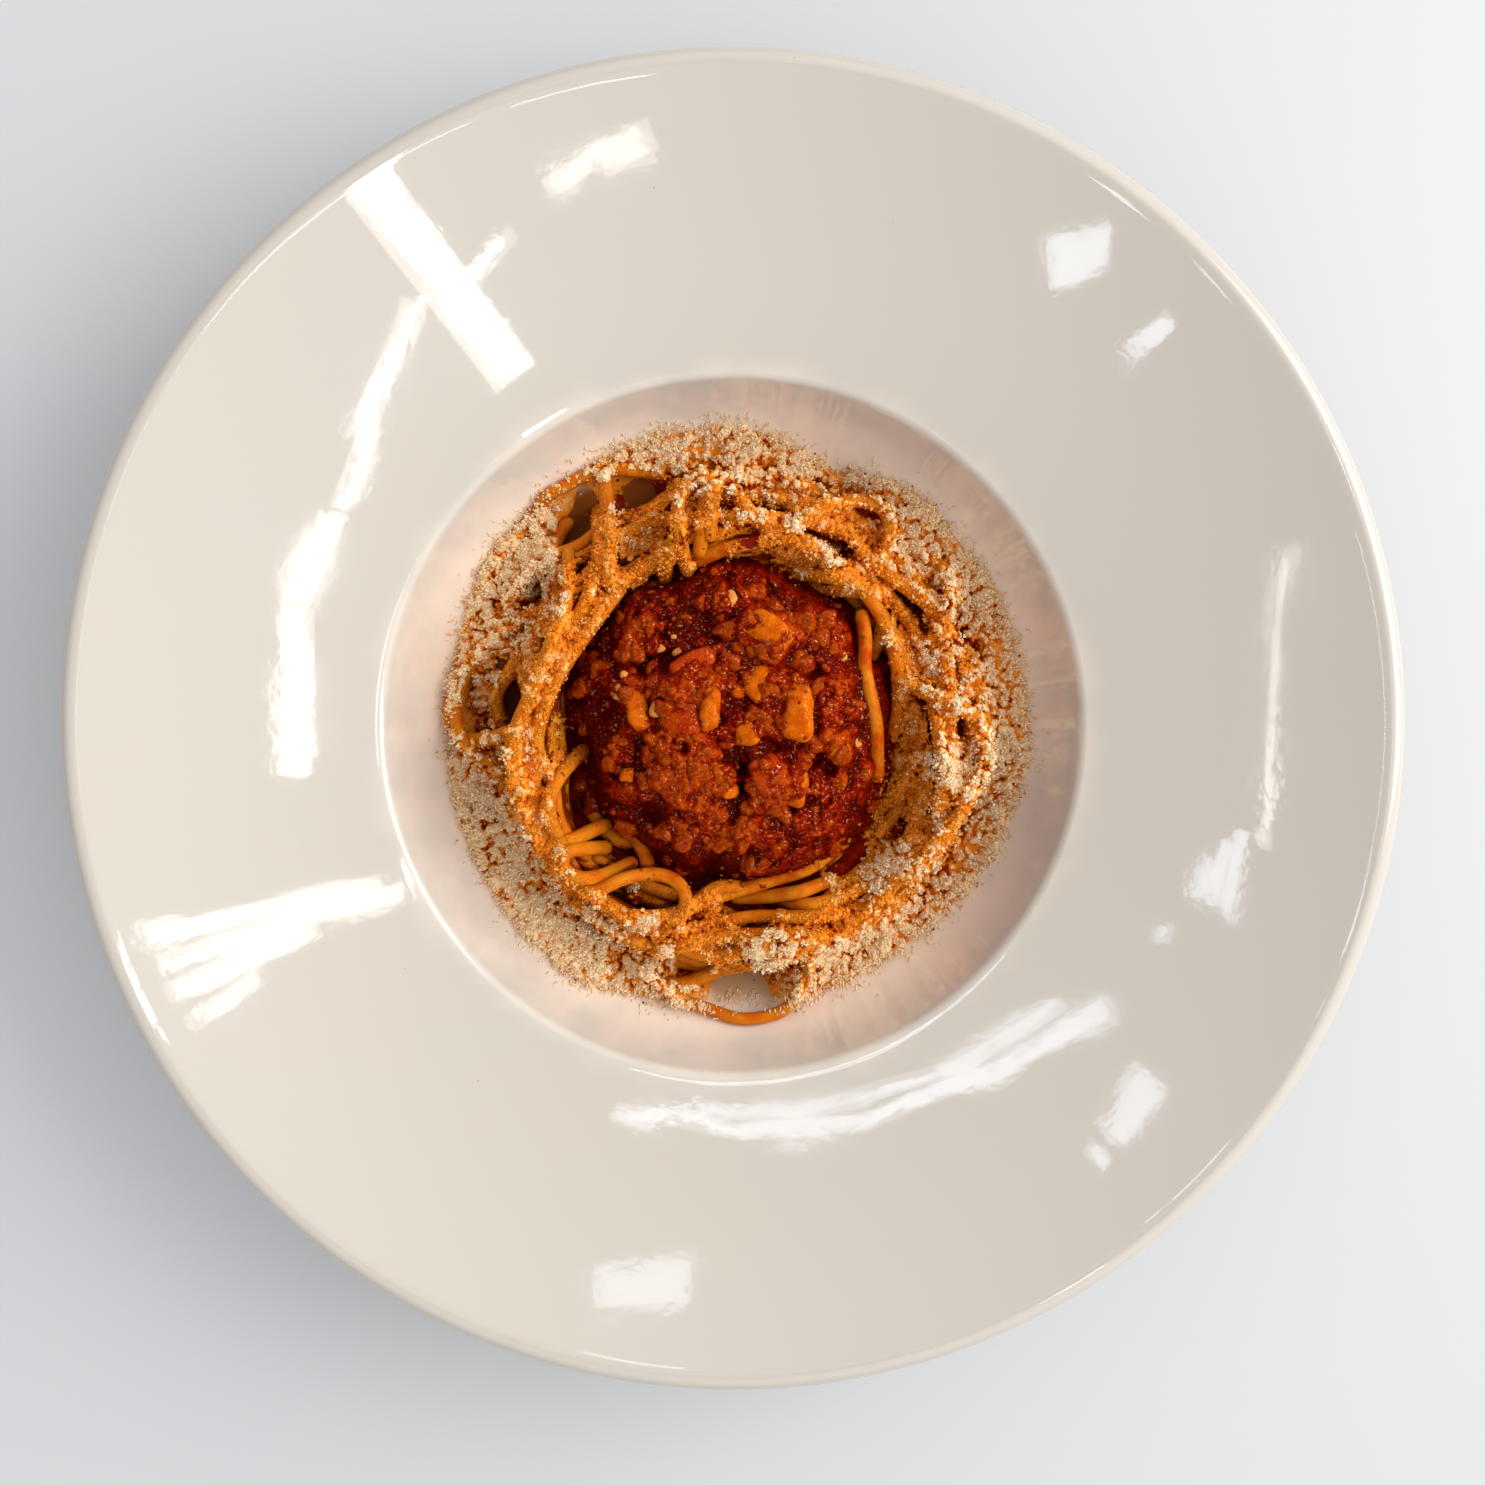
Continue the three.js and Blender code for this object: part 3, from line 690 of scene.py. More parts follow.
def glazed_ceramic():
    """Warm white glaze with a film of oil where the food has touched it, painted lighter and peachier in the
    well as painted light.
    """
    shade = new_shade("glazed_ceramic")
    flat = shade.node("ShaderNodeCombineXYZ", 0, {"X": shade.axis("X"), "Y": shade.axis("Y")})
    length = shade.node("ShaderNodeVectorMath", "Value", {0: flat}, operation="LENGTH")
    reach = shade.sum(length, shade.patches(14, 0.3, 0.7, -0.002, 0.002))
    inner_side = shade.number("inner_side")
    film = shade.product(shade.between(reach, 0.064, 0.058), inner_side)
    soaked = shade.product(shade.between(reach, 0.062, 0.0585), inner_side)
    soaked = shade.product(soaked, shade.between(shade.axis("Y"), -0.045, -0.035))
    specks = shade.product(shade.between(shade.cells(9), 0.022, 0.014), shade.patches(21, 0.56, 0.6))
    tone = shade.blend(shade.noise(38, 2), GLAZE, GLAZE_SHADE)
    # Painted light: lighter, peachier glaze inside the well.
    tone = shade.blend(shade.between(reach, 0.079, 0.060), tone, WELL_GLAZE_PAINTED_LIGHT)
    tone = shade.blend(specks, tone, SPECK)
    tone = shade.blend(film, tone, OIL_FILM)
    tone = shade.blend(soaked, tone, SOAKED_GLAZE)
    shade.looks(Base_Color=tone, Roughness=shade.patches(30, 0.3, 0.7, 0.025, 0.045, detail=2),
                Coat_Weight=0.35, Coat_Roughness=0.015, IOR=1.5)
    shade.bumps((shade.noise(26, 1), 0.10), (shade.noise(3.5, 2), 0.006))
    return shade.owner


def sauced_pasta():
    """Cooked noodles: bare and satin, redder where the sauce clings, crusted where cheese has stuck, and
    painted dark where they lie deep under others, partly sauce and partly painted shade.
    """
    shade = new_shade("sauced_pasta")
    tone = shade.blend(shade.patches(4.5, 0.35, 0.7), PASTA, REDDER_PASTA)
    streak = shade.sum(shade.number("sauce"), shade.patches(2.6, 0.3, 0.75, -0.3, 0.3))
    tone = shade.blend(shade.between(streak, 0.15, 0.9), tone, SAUCED)
    # Painted shade, partly sauce: strands that lie deep under others are darkened.
    tone = shade.blend(shade.between(shade.number("depth"), 1.2, 6.5), tone, DEEP_STRAND_SAUCE_AND_SHADE)
    grains = shade.between(shade.cells(0.75), 0.55, 0.15)
    crusted = shade.sum(shade.number("crust"), shade.patches(1.7, 0.3, 0.7, -0.45, 0.35))
    crusted = shade.between(crusted, 0.25, 0.6)
    crumbs = shade.blend(shade.patches(0.9, 0.45, 0.7, detail=2), CRUST, OILY_CHEESE)
    grains_on_crust = shade.product(grains, crusted)
    tone = shade.blend(grains_on_crust, tone, crumbs)
    shade.looks(Base_Color=tone, Roughness=shade.between(crusted, 0, 1, 0.34, 0.62),
                Specular_IOR_Level=0.18, Specular_Tint=(1, 0.5, 0.15))
    shade.soft_inside(0.35, 1.6, (1, 0.36, 0.12))
    shade.bumps((shade.noise(1.3), 0.10), (grains_on_crust, 0.38))
    return shade.owner


def dark_sauce():
    """Sauce deep among the noodles, painted dark in patches as painted shade."""
    shade = new_shade("dark_sauce")
    shade.looks(Base_Color=shade.blend(shade.patches(3.2, 0.35, 0.7), SAUCE_IN_PAINTED_SHADE, SAUCE))
    shade.glints(1.1, 0.05, 0.6)
    shade.bumps((shade.noise(1.6, 4), 0.35))
    return shade.owner


def meat_sauce():
    """Glossy tomato sauce with painted light and shade: painted paler on what stands up, partly as oil, and
    painted dark in the pits.
    """
    shade = new_shade("meat_sauce")
    uneven = shade.patches(1.1, 0.25, 0.75, -0.35, 0.35, detail=4, roughness=0.65)
    lift = shade.sum(shade.number("lift"), uneven)
    # Painted shade in the pits and painted light on what stands up, partly oil, with mince on the raised
    # parts.
    tone = shade.blend(shade.between(lift, -0.3, 0.3), SAUCE_IN_PAINTED_SHADE, SAUCE)
    tone = shade.blend(shade.between(lift, 0.25, 0.85), tone, OILY_SAUCE_AND_PAINTED_LIGHT)
    meaty = shade.product(shade.patches(3.8, 0.48, 0.62, detail=4), shade.between(lift, 0.1, 0.7, 0, 0.7))
    tone = shade.blend(meaty, tone, MINCE)
    shade.looks(Base_Color=tone)
    shade.glints(0.55, 0.11, 1)
    shade.soft_inside(0.15, 0.8, (1, 0.16, 0.04))
    shade.bumps((shade.noise(1.2, 4, 0.6), 0.28), (shade.cells(0.5), 0.10))
    return shade.owner


def cooked_piece(name, inside, shaded, size):
    """Vegetable or meat in the sauce, with the sauce clinging to it in patches."""
    shade = new_shade(name)
    tone = shade.blend(shade.patches(size, 0.3, 0.7), inside, shaded)
    uneven = shade.patches(2.4, 0.25, 0.75, -0.5, 0.5, detail=4, roughness=0.6)
    clinging = shade.between(shade.sum(shade.number("sunk"), uneven), 0.25, 0.75)
    shade.looks(Base_Color=shade.blend(clinging, tone, SAUCE))
    shade.glints(0.55, 0.10, 0.9)
    shade.soft_inside(0.35, 1.4, (1, 0.3, 0.08))
    shade.bumps((shade.noise(1.1, 4), 0.16), (shade.noise(0.4, 2), 0.05))
    return shade.owner


def grated_cheese():
    """Fine hard cheese, stained by the oil below it, and painted more stained in its hollows and gaps as
    painted shade.
    """
    shade = new_shade("grated_cheese")
    # The number read here carries both the oil's staining and painted shade, so the orange and sauce colours
    # are partly painted shade.
    stain = shade.sum(shade.number("stain"), shade.patches(1.6, 0.3, 0.7, -0.3, 0.3))
    tone = shade.blend(shade.patches(0.7, 0.35, 0.65, detail=2), CHEESE, CHEESE_SHADE)
    tone = shade.blend(shade.between(stain, 0.1, 0.55), tone, OILY_CHEESE)
    tone = shade.blend(shade.between(stain, 0.45, 0.95), tone, CHEESE_STAIN)
    tone = shade.blend(shade.between(stain, 1.05, 1.7), tone, SAUCE)
    shade.looks(Base_Color=tone, Roughness=0.7, Specular_IOR_Level=0.1)
    shade.bumps((shade.cells(0.6), 0.14), (shade.noise(0.4, 2), 0.05))
    return shade.owner


def table_top():
    shade = new_shade("table_top")
    shade.looks(Base_Color=shade.blend(shade.noise(60), TABLE, TABLE_SHADE), Roughness=0.5)
    return shade.owner


# ---------------------------------------------------------------- bowl

def arc(centre, radius, start, end, count):
    """Places along part of a circle, with directions in degrees."""
    return rows_of(*plane(radius, np.linspace(start, end, count))) + centre


def bent(start, middle, end, count):
    """Places along a smooth bend from start to end, pulled towards middle."""
    part = np.linspace(0, 1, count)[:, None]
    return (1 - part) ** 2 * start + 2 * part * (1 - part) * middle + part ** 2 * end


def bowl_profile():
    """Reach and height round the bowl's section, from the axis underneath to the axis inside."""
    steep, sloping = math.degrees(WALL_ANGLE), math.degrees(RIM_SLOPE)
    floor_centre = (FLOOR_RADIUS, FLOOR_HEIGHT + WELL_CURVE)
    floor = arc(floor_centre, WELL_CURVE, steep - 90, -90, 26)
    wall_rise = WALL_TOP - floor[0][1]
    wall_top = floor[0] + (wall_rise / math.tan(WALL_ANGLE), wall_rise)
    edge_centre = wall_top + EDGE_CURVE * np.array([math.sin(WALL_ANGLE), -math.cos(WALL_ANGLE)])
    edge = arc(edge_centre, EDGE_CURVE, 90 + sloping, 90 + steep, 14)
    rim_start = edge[0]
    lip = arc((BOWL_RADIUS - LIP_CURVE, BOWL_HEIGHT - LIP_CURVE), LIP_CURVE, -90, LIP_START, 30)
    halfway = (lip[-1][0] - rim_start[0]) / 2
    rim_middle = rim_start + (halfway, halfway * math.tan(RIM_SLOPE))
    rim = bent(lip[-1], rim_middle, rim_start, 40)[1:]
    foot = [(0, RECESS), (20, RECESS), (40, RECESS), (43, RECESS), (43.4, RECESS - 0.4), (44, 0.3),
            (44.6, 0), (46.5, 0), (48.2, 0), (48.9, 0.35), (FOOT_RADIUS, 0.9)]
    outside = arc(floor_centre, WELL_CURVE + WALL_THICKNESS, -72, -24, 22)
    under_rim = rim_start + (RIM_THICKNESS * 2, -RIM_THICKNESS * 0.64)
    under_lip = (BOWL_RADIUS - 2 * LIP_CURVE, BOWL_HEIGHT - RIM_THICKNESS * 1.3)
    below = np.linspace(under_rim, under_lip, 10)
    wall = np.linspace(edge[-1], floor[0], 6)[1:-1]
    inside = np.linspace(floor[-1], (0, FLOOR_HEIGHT), 8)[1:]
    return np.vstack([foot, outside, below, lip, rim, edge[1:], wall, floor, inside])


def make_bowl(material):
    ring = bowl_profile()[1:-1]
    reach, height = ring[:, :1], ring[:, 1:]
    turn = np.linspace(0, 2 * math.pi, BOWL_SEGMENTS, endpoint=False)
    points = rows_of(reach * np.cos(turn), reach * np.sin(turn), height)
    spot = np.arange(BOWL_SEGMENTS)
    after = np.roll(spot, -1)
    under, inside, last = len(points), len(points) + 1, len(points) - BOWL_SEGMENTS
    faces = grid_faces(len(ring), BOWL_SEGMENTS, wrap=True)[:, ::-1].tolist()
    faces += rows_of(after, spot, under).tolist()
    faces += rows_of(last + after, inside, last + spot).tolist()
    points = np.vstack([points, (0, 0, RECESS), (0, 0, FLOOR_HEIGHT)])
    inner_side = np.repeat(np.arange(len(ring)) > len(ring) // 2, BOWL_SEGMENTS)
    return add_mesh("pasta_bowl", points, faces, material, inner_side=[*inner_side, 0, 1])


# ---------------------------------------------------------------- strands

def evenly_spaced(points, step):
    lengths = np.concatenate([[0], np.cumsum(np.linalg.norm(np.diff(points, axis=0), axis=1))])
    wanted = np.linspace(0, lengths[-1], max(4, int(lengths[-1] / step)))
    return rows_of(*(np.interp(wanted, lengths, column) for column in points.T))


def curve_through(pairs):
    """Evenly spaced places along a smooth curve through (direction, reach) pairs."""
    direction, reach = np.array(pairs).T
    points = rows_of(*plane(reach, direction))
    ends = np.vstack([2 * points[0] - points[1], points, 2 * points[-1] - points[-2]])
    part = np.linspace(0, 1, 24, endpoint=False)[:, None]
    pieces = []
    for before, start, end, after in zip(ends, ends[1:], ends[2:], ends[3:]):
        pieces.append(0.5 * (2 * start + (end - before) * part
                             + (2 * before - 5 * start + 4 * end - after) * part ** 2
                             + (3 * start - before - 3 * end + after) * part ** 3))
    return evenly_spaced(np.vstack([*pieces, points[-1]]), STRAND_SPACING)


def resting_heights(support):
    """A limp strand over what lies under it: it touches the high places and sags between them."""
    along = np.arange(len(support)) * STRAND_SPACING
    bow = STRAND_SAG * along ** 2 / 2
    bowed = support - bow
    hull = [0]
    for place in range(1, len(bowed)):
        while len(hull) > 1:
            last, before = hull[-1], hull[-2]
            rise = (bowed[last] - bowed[before]) * (place - before)
            if rise > (bowed[place] - bowed[before]) * (last - before):
                break
            hull.pop()
        hull.append(place)
    return np.interp(along, along[hull], bowed[hull]) + bow


def lay_strand(heap, flat, radius):
    """Lays one strand on the heap and returns its centre line."""
    x, y = flat.T
    height = blurred(resting_heights(heap.support(x, y, radius) - STRAND_PRESS), 3)
    from_end = np.minimum(np.arange(len(x)), np.arange(len(x))[::-1]) * STRAND_SPACING
    height = height - STRAND_DIP * (1 - smooth_step(0, STRAND_DIP_LENGTH, from_end))
    height = np.maximum(height, well_height(np.hypot(x, y)) + radius * 1.1)
    heap.add_balls(x, y, height, radius)
    return rows_of(x, y, height)


def clear_of_holes(flat):
    """Bends a path round the places that the strands leave open."""
    for x, y, width in SAUCY_HOLES + PALE_HOLES:
        away = flat - (x, y)
        distance = np.hypot(*away.T)[:, None]
        least = width + STRAND_RADIUS
        pushed = (x, y) + away * (least / np.maximum(distance, 0.3))
        flat = np.where(distance < least, pushed, flat)
    return flat


def wound_paths():
    """Strands wound round the nest, each wavering in its own way."""
    random = np.random.default_rng(12)
    part = np.linspace(0, 1, 9)
    for number in range(WOUND_COUNT):
        start = number * WOUND_TURN + random.uniform(-12, 12)
        directions = start + random.uniform(60, 150) * part
        reach = 36 + 17 * random.random() ** 0.8
        drift = random.uniform(-6, 6)
        swing = random.uniform(0.8, 2.6)
        turns = random.uniform(1.6, 3.2)
        phase = random.uniform(0, 2 * math.pi)
        reaches = reach + drift * (part - 0.5) + swing * np.sin(turns * math.pi * part + phase)
        if number % 4 == 1:
            reaches[-2:] += random.uniform(2, 6)
        reaches = np.clip(reaches, WOUND_INNER, WOUND_OUTER)
        for side, width, most in OPEN_SIDES:
            from_side = (directions - side + 180) % 360 - 180
            reaches = np.maximum(reaches, WOUND_INNER + most * np.exp(-(from_side / width) ** 2))
        yield rows_of(directions, reaches)


def lay_strands(heap):
    """Centre lines and radii of all strands, the wound ones first."""
    random = np.random.default_rng(5)
    laid = []

    def lay(flat, thinnest, thickest):
        radius = STRAND_RADIUS * random.uniform(thinnest, thickest)
        laid.append((lay_strand(heap, flat, radius), radius))

    for pairs in wound_paths():
        flat = clear_of_holes(curve_through(pairs))
        flat = rows_of(*(blurred(column, 4) for column in flat.T))
        lay(evenly_spaced(flat, STRAND_SPACING), 0.92, 1.06)
    for pairs in SHOWN_STRANDS:
        lay(curve_through(pairs), 0.96, 1.08)
    out = ragu_out(heap.x, heap.y)
    heap.raise_to(ragu_surface(heap.x, heap.y, out)[0] - STRAND_BEDDING, out < 1)
    for pairs in STRANDS_OVER_SAUCE:
        lay(curve_through(pairs), 0.96, 1.08)
    return laid


def strand_mesh(centre, radii):
    """Points, outward directions and faces of a strand that never runs straight up."""
    along = np.gradient(centre, axis=0)
    along /= np.linalg.norm(along, axis=1)[:, None]
    across = np.cross(along, (0, 0, 1))
    across /= np.linalg.norm(across, axis=1)[:, None]
    over = np.cross(across, along)
    centre = np.vstack([centre[0] - along[0] * 0.5, centre, centre[-1] + along[-1] * 0.5])
    across, over = (np.pad(side, ((1, 1), (0, 0)), mode="edge")[:, None] for side in (across, over))
    radii = np.pad(radii, 1, mode="edge")
    radii[[0, -1]] *= 0.35
    radii[[1, -2]] *= 0.8
    turn = np.linspace(0, 2 * math.pi, STRAND_SIDES, endpoint=False)[:, None]
    outward = across * np.cos(turn) + over * np.sin(turn)
    points = centre[:, None] + outward * radii[:, None, None]
    return points.reshape(-1, 3), outward.reshape(-1, 3), grid_faces(len(centre), STRAND_SIDES, wrap=True)


def make_strands(heap, laid, material):
    parts = Parts()
    for number, (centre, radius) in enumerate(laid):
        line = evenly_spaced(centre, STRAND_STEP)
        radii = radius * (1 + 0.05 * noise_at(line, 7, 40 + number % 5))
        points, outward, faces = strand_mesh(line, radii)
        x, y, z = points.T
        reach, direction = polar(x, y - RAGU_SHIFT)
        beyond = reach - ragu_radius(direction)
        near = smooth_step(-4, -1, beyond) * (1 - smooth_step(-1, 7, beyond))
        # How deep under the heap's top each point lies, which paints the strand darker: partly sauce, partly
        # painted shade.
        depth = np.clip(heap.at(x, y) - z, 0, 12)
        crust = np.maximum(cheese_cover(x, y), coat_cover(x, y))
        crust = crust * smooth_step(-0.3, 0.5, outward[:, 2]) * (1 - smooth_step(2.5, 5, depth))
        parts.add(points, faces, crust=crust, depth=depth, sauce=0.15 + 0.5 * near)
    return parts.build("noodles", material)


# ---------------------------------------------------------------- core and sauce

def make_core(heap, material):
    """The sauced middle of the nest, which shows between the strands."""
    out, direction = disc_grid(CORE_GRID)
    reach = out * (nest_radius(direction) - CORE_INSET)
    x, y = plane(reach, direction)
    relief = 0.9 * flat_noise(x, y, 5.5, 3) + 0.6 * flat_noise(x, y, 2.4, 4) + 0.5 * pebbled(x, y, 1.9, 5)
    z = core_height(reach, direction) + relief * (1 - smooth_step(0.9, 1, out))
    points, faces = closed_mound(x, y, z, CORE_GRID, FLOOR_HEIGHT + 0.4)
    points[:, 2] = np.maximum(points[:, 2], well_height(np.hypot(*points.T[:2])) + 0.3)
    inside = heap.reach < nest_radius(heap.direction) - CORE_INSET
    heap.raise_to(core_height(heap.reach, heap.direction), inside)
    return add_mesh("sauce_among_the_noodles", points, faces, material)


def ragu_relief(x, y, out):
    """Heights of the sauce's large lumps and of its grain and pits above its plain mound."""
    lumps = np.zeros(np.shape(x))
    rough = 0.45 * flat_noise(x, y, 4, 61)
    fine = 0.2 * flat_noise(x, y, 1.6, 58)
    for lump_x, lump_y, length, width, height, turn in RAGU_SWELLS:
        cosine, sine = math.cos(math.radians(turn)), math.sin(math.radians(turn))
        along = (x - lump_x) * cosine + (y - lump_y) * sine
        across = (y - lump_y) * cosine - (x - lump_x) * sine
        away = (2 * along / length) ** 2 + (2 * across / width) ** 2 + rough + fine
        lumps = np.maximum(lumps, height * np.sqrt(np.clip(1 - away, 0, 1)))
    grainy = smooth_step(-0.4, 0.3, flat_noise(x, y, 7.5, 62))
    bent = (x, y) + 0.9 * noise_pair(x, y, 1.8, (69, 59)) + 0.35 * noise_pair(x, y, 0.7, (70, 60))
    wide = bent + 2.2 * noise_pair(x, y, 4.6, (55, 54))
    grain = 0.5 * flat_noise(x, y, 4.2, 63) + 0.3 * ridged(x, y, 2.9, 64) * (0.5 + grainy)
    grain = grain + (0.25 + 0.45 * grainy) * pebbled(*bent, 1.25, 65)
    grain = grain + 0.2 * ridged(x, y, 1.3, 57) * grainy + 0.18 * flat_noise(x, y, 0.7, 66)
    grain = grain + 0.6 * pebbled(*bent, 3, 67) + 1.5 * pebbled(*wide, 6.2, 56) - 0.8
    for *place, depth in RAGU_PITS:
        grain = grain - depth * nearness(x, y, *place, 1.5)
    fade = 1 - 0.3 * smooth_step(0.93, 1.05, out)
    return lumps * fade, grain * fade


def ragu_surface(x, y, out):
    """Height of the sauce, running out in a skirt beyond its mound, and how far it stands up, which paints
    light and shade into its colour.
    """
    plain = RAGU_EDGE + (RAGU_TOP - RAGU_EDGE) * np.sqrt(np.clip(1 - out ** 2, 0, 1))
    beyond = np.clip(out - 0.97, 0, 1) * RAGU_RADIUS
    lumps, grain = ragu_relief(x, y, out)
    return plain - 1.1 * beyond + lumps + grain, 0.8 * grain + 0.42 * lumps - 0.75


def make_ragu(heap, material):
    """The mound of meat sauce."""
    out, direction = disc_grid(RAGU_GRID)
    out = np.minimum(out, 1) * RAGU_SPREAD
    edge = ragu_radius(direction) + 1.4 * flat_noise(*plane(RAGU_RADIUS, direction), 5, 68)
    x, y = plane(out * edge, direction)
    y = y + RAGU_SHIFT
    z, lift = ragu_surface(x, y, out)
    points, faces = closed_mound(x, y, z, RAGU_GRID, RAGU_FOOT)
    # The mound's wall and base get a low number, so they are painted dark: painted shade.
    lift = np.concatenate([lift / 1.9, np.full(len(points) - len(x), -0.4)])
    grid_out = ragu_out(heap.x, heap.y)
    heap.raise_to(ragu_surface(heap.x, heap.y, grid_out)[0], grid_out < RAGU_SPREAD)
    return add_mesh("meat_sauce", points, faces, material, lift=lift)


def rounded_piece(random, size, squareness):
    """A dice with rounded edges round its own middle, from its length, width and height."""
    points, faces = ball_points(4 if size[0] > 7 else 3)
    points = np.sign(points) * np.abs(points) ** squareness
    points /= np.abs(points).max(axis=0)
    shift = random.uniform(0, 100, 3)
    swelling = noise_at(points * size * 0.5 + shift, max(1.2, size[1] * 0.45), 71)
    points = points * (1 + 0.16 * swelling[:, None])
    points[:, 1] *= 1 - random.uniform(0, 0.35) * points[:, 0]
    tilt = random.uniform(-0.28, 0.28, 2)
    points = points * (np.array(size) / 2)
    points[:, 2] += points[:, 0] * tilt[0] + points[:, 1] * tilt[1]
    return points, faces


def make_ragu_pieces(heap, materials):
    """Diced vegetables that show in the sauce, one mesh for each kind."""
    random = np.random.default_rng(17)
    kinds = {kind: Parts() for kind in materials}
    for kind, rows in RAGU_PIECES.items():
        for x, y, *size, turn, proud in rows:
            points, faces = rounded_piece(random, size, SQUARENESS[kind])
            points = turned(points, turn)
            height = size[2]
            spots = heap.at(x + points[::7, 0] * 0.7, y + points[::7, 1] * 0.7)
            points += (x, y, np.median(spots) + (proud - 0.5) * height)
            sunk = heap.at(*points.T[:2]) - points[:, 2]
            kinds[kind].add(points, faces, sunk=smooth_step(-height * 0.45, height * 0.25, sunk))
            top = points[points[:, 2] > np.median(points[:, 2])] - (0, 0, 0.5)
            heap.add_balls(*top.T, 0.55)
    return [parts.build(f"{kind}_dice", materials[kind]) for kind, parts in kinds.items()]


def make_mince(heap, material):
    """Lumps and crumbs of meat in the sauce, most of them small, in clumps and clear of the dice."""
    random = np.random.default_rng(23)
    parts = Parts()
    crumb, lump, clump = (ball_points(level) for level in (1, 2, 3))
    reach = MINCE_REACH * np.sqrt(random.random(MINCE_TRIED))
    direction = random.uniform(-180, 180, MINCE_TRIED)
    out = reach / ragu_radius(direction)
    x_all, y_all = plane(reach, direction)
    y_all = y_all + RAGU_SHIFT
    surface, _ = ragu_surface(x_all, y_all, out)
    lumps, _ = ragu_relief(x_all, y_all, out)
    crowded = 0.8 * flat_noise(x_all, y_all, 5, 72) + 0.3 * (lumps - 0.9) + 0.5 * (reach > 32)
    for x, y, level, crowd in zip(x_all[:, None], y_all[:, None], surface, crowded):
        size = 0.4 + 1.9 * random.random() ** 3.2
        on_dice = heap.at(x, y)[0] > level + 0.9
        if crowd < random.uniform(-0.5, 0.7) or (on_dice and size > 0.55):
            continue
        points, faces = clump if size > 1.5 else lump if size > 0.6 else crumb
        lumpy = 1 + 0.4 * noise_at(points * 1.5 + random.uniform(0, 50, 3), 1, 73)
        lumpy = lumpy + 0.16 * noise_at(points * 3.4 + random.uniform(0, 50, 3), 1, 74)
        points = points * lumpy[:, None] * (size * random.uniform(0.9, 1.7), size, size * 0.75)
        points = turned(points, random.uniform(0, 360))
        height = heap.at(x, y) - size * random.uniform(0.2, 0.75)
        sunk = smooth_step(size * 0.6, -size * 0.3, points[:, 2])
        parts.add(points + rows_of(x, y, height), faces, sunk=0.8 * sunk + random.uniform(-0.1, 0.5))
        heap.add_balls(x, y, height, size * 0.8)
    return parts.build("mince", material)


# ---------------------------------------------------------------- cheese

def bed_height(reach, direction):
    """Top of the bed of cheese that lies in the well outside the nest."""
    inner = nest_radius(direction) - DRIFT_OVERLAP
    across = np.clip((reach - inner) / (fringe_radius(direction) - 0.6 - inner), 0, 1)
    arched = np.sin(math.pi * across)
    cover = np.clip(cheese_cover(*plane(reach, direction)), 0, 1)
    return well_height(reach) + (CHEESE_THIN + CHEESE_DRIFT * arched) * cover * arched ** 0.35 - DRIFT_SUNK


def make_drift(heap, material):
    """The bed of cheese in the well, under what shows of it."""
    direction = np.linspace(0, 360, DRIFT_ROUND, endpoint=False)
    across = np.linspace(0, 1, DRIFT_ACROSS)[:, None]
    inner = nest_radius(direction) - DRIFT_OVERLAP
    reach = inner + (fringe_radius(direction) - DRIFT_INSET - inner) * across
    points = rows_of(*plane(reach, direction), bed_height(reach, direction))
    faces = grid_faces(DRIFT_ACROSS, DRIFT_ROUND, wrap=True)
    ring = heap.reach > nest_radius(heap.direction) - DRIFT_OVERLAP
    ring &= heap.reach < fringe_radius(heap.direction) - DRIFT_INSET
    heap.raise_to(bed_height(heap.reach, heap.direction), ring)
    stain = 1.7 - 1.1 * smooth_step(55, 62, np.hypot(*points.T[:2]))
    return add_mesh("cheese_in_the_well", points, faces, material, stain=stain)


def softened(top):
    """A grid of heights with its smallest steps smoothed."""
    for _ in range(2):
        padded = np.pad(top, 1, mode="edge")
        top = (top * 2 + padded[:-2, 1:-1] + padded[2:, 1:-1] + padded[1:-1, :-2] + padded[1:-1, 2:]) / 6
    return top


def cheese_depth(x, y):
    """Depth of the cheese at each place, below 0 where there is none, and that of its thick clumps."""
    cover = cheese_cover(x, y)
    bent = (x, y) + 0.9 * noise_pair(x, y, 2.2, (20, 25))
    clumps = pebbled(*bent, 3, 21) * (0.65 + 0.6 * flat_noise(x, y, 6, 22))
    fine = pebbled(x, y, 0.95, 26)
    lumps = 1.9 * clumps + 1.4 * pebbled(*bent, 1.7, 24) + 0.7 * fine
    outer = smooth_step(53, 60, np.hypot(x, y))
    piled = 1.5 * np.clip(cover - 0.62, -1, 0.9) + 0.6 * flat_noise(x, y, 4.4, 23) - 1.85 + 0.4 * outer
    piled = piled + lumps * smooth_step(0, 0.6, cover)
    thin = 0.5 * fine + 0.3 * flat_noise(x, y, 1.4, 27) + 0.45 * flat_noise(x, y, 3.6, 32) - 0.2
    return np.maximum(piled, thin - 1.2 * (1 - coat_cover(x, y))), piled


def cheese_stain(x, y, piled, proud, fine_proud):
    """How far oil and sauce have coloured the cheese, least on thick clumps, with painted shade added: low
    places are painted more stained and what stands proud cleaner.
    """
    outer = smooth_step(53, 61, np.hypot(x, y))
    clean = smooth_step(-0.4, 1.4, piled) + 0.45 * smooth_step(1, 1.5, cheese_cover(x, y))
    # Painted shade: hollows are painted more stained, and what stands proud cleaner.
    low = 0.85 * np.clip(proud, -1.2, 0.6) + 0.5 * np.clip(fine_proud, -0.7, 0.35)
    stain = 1.03 - 0.8 * clean - 0.3 * outer - low + 0.4 * flat_noise(x, y, 3.6, 31)
    return stain + 1.3 * in_hole(x, y)


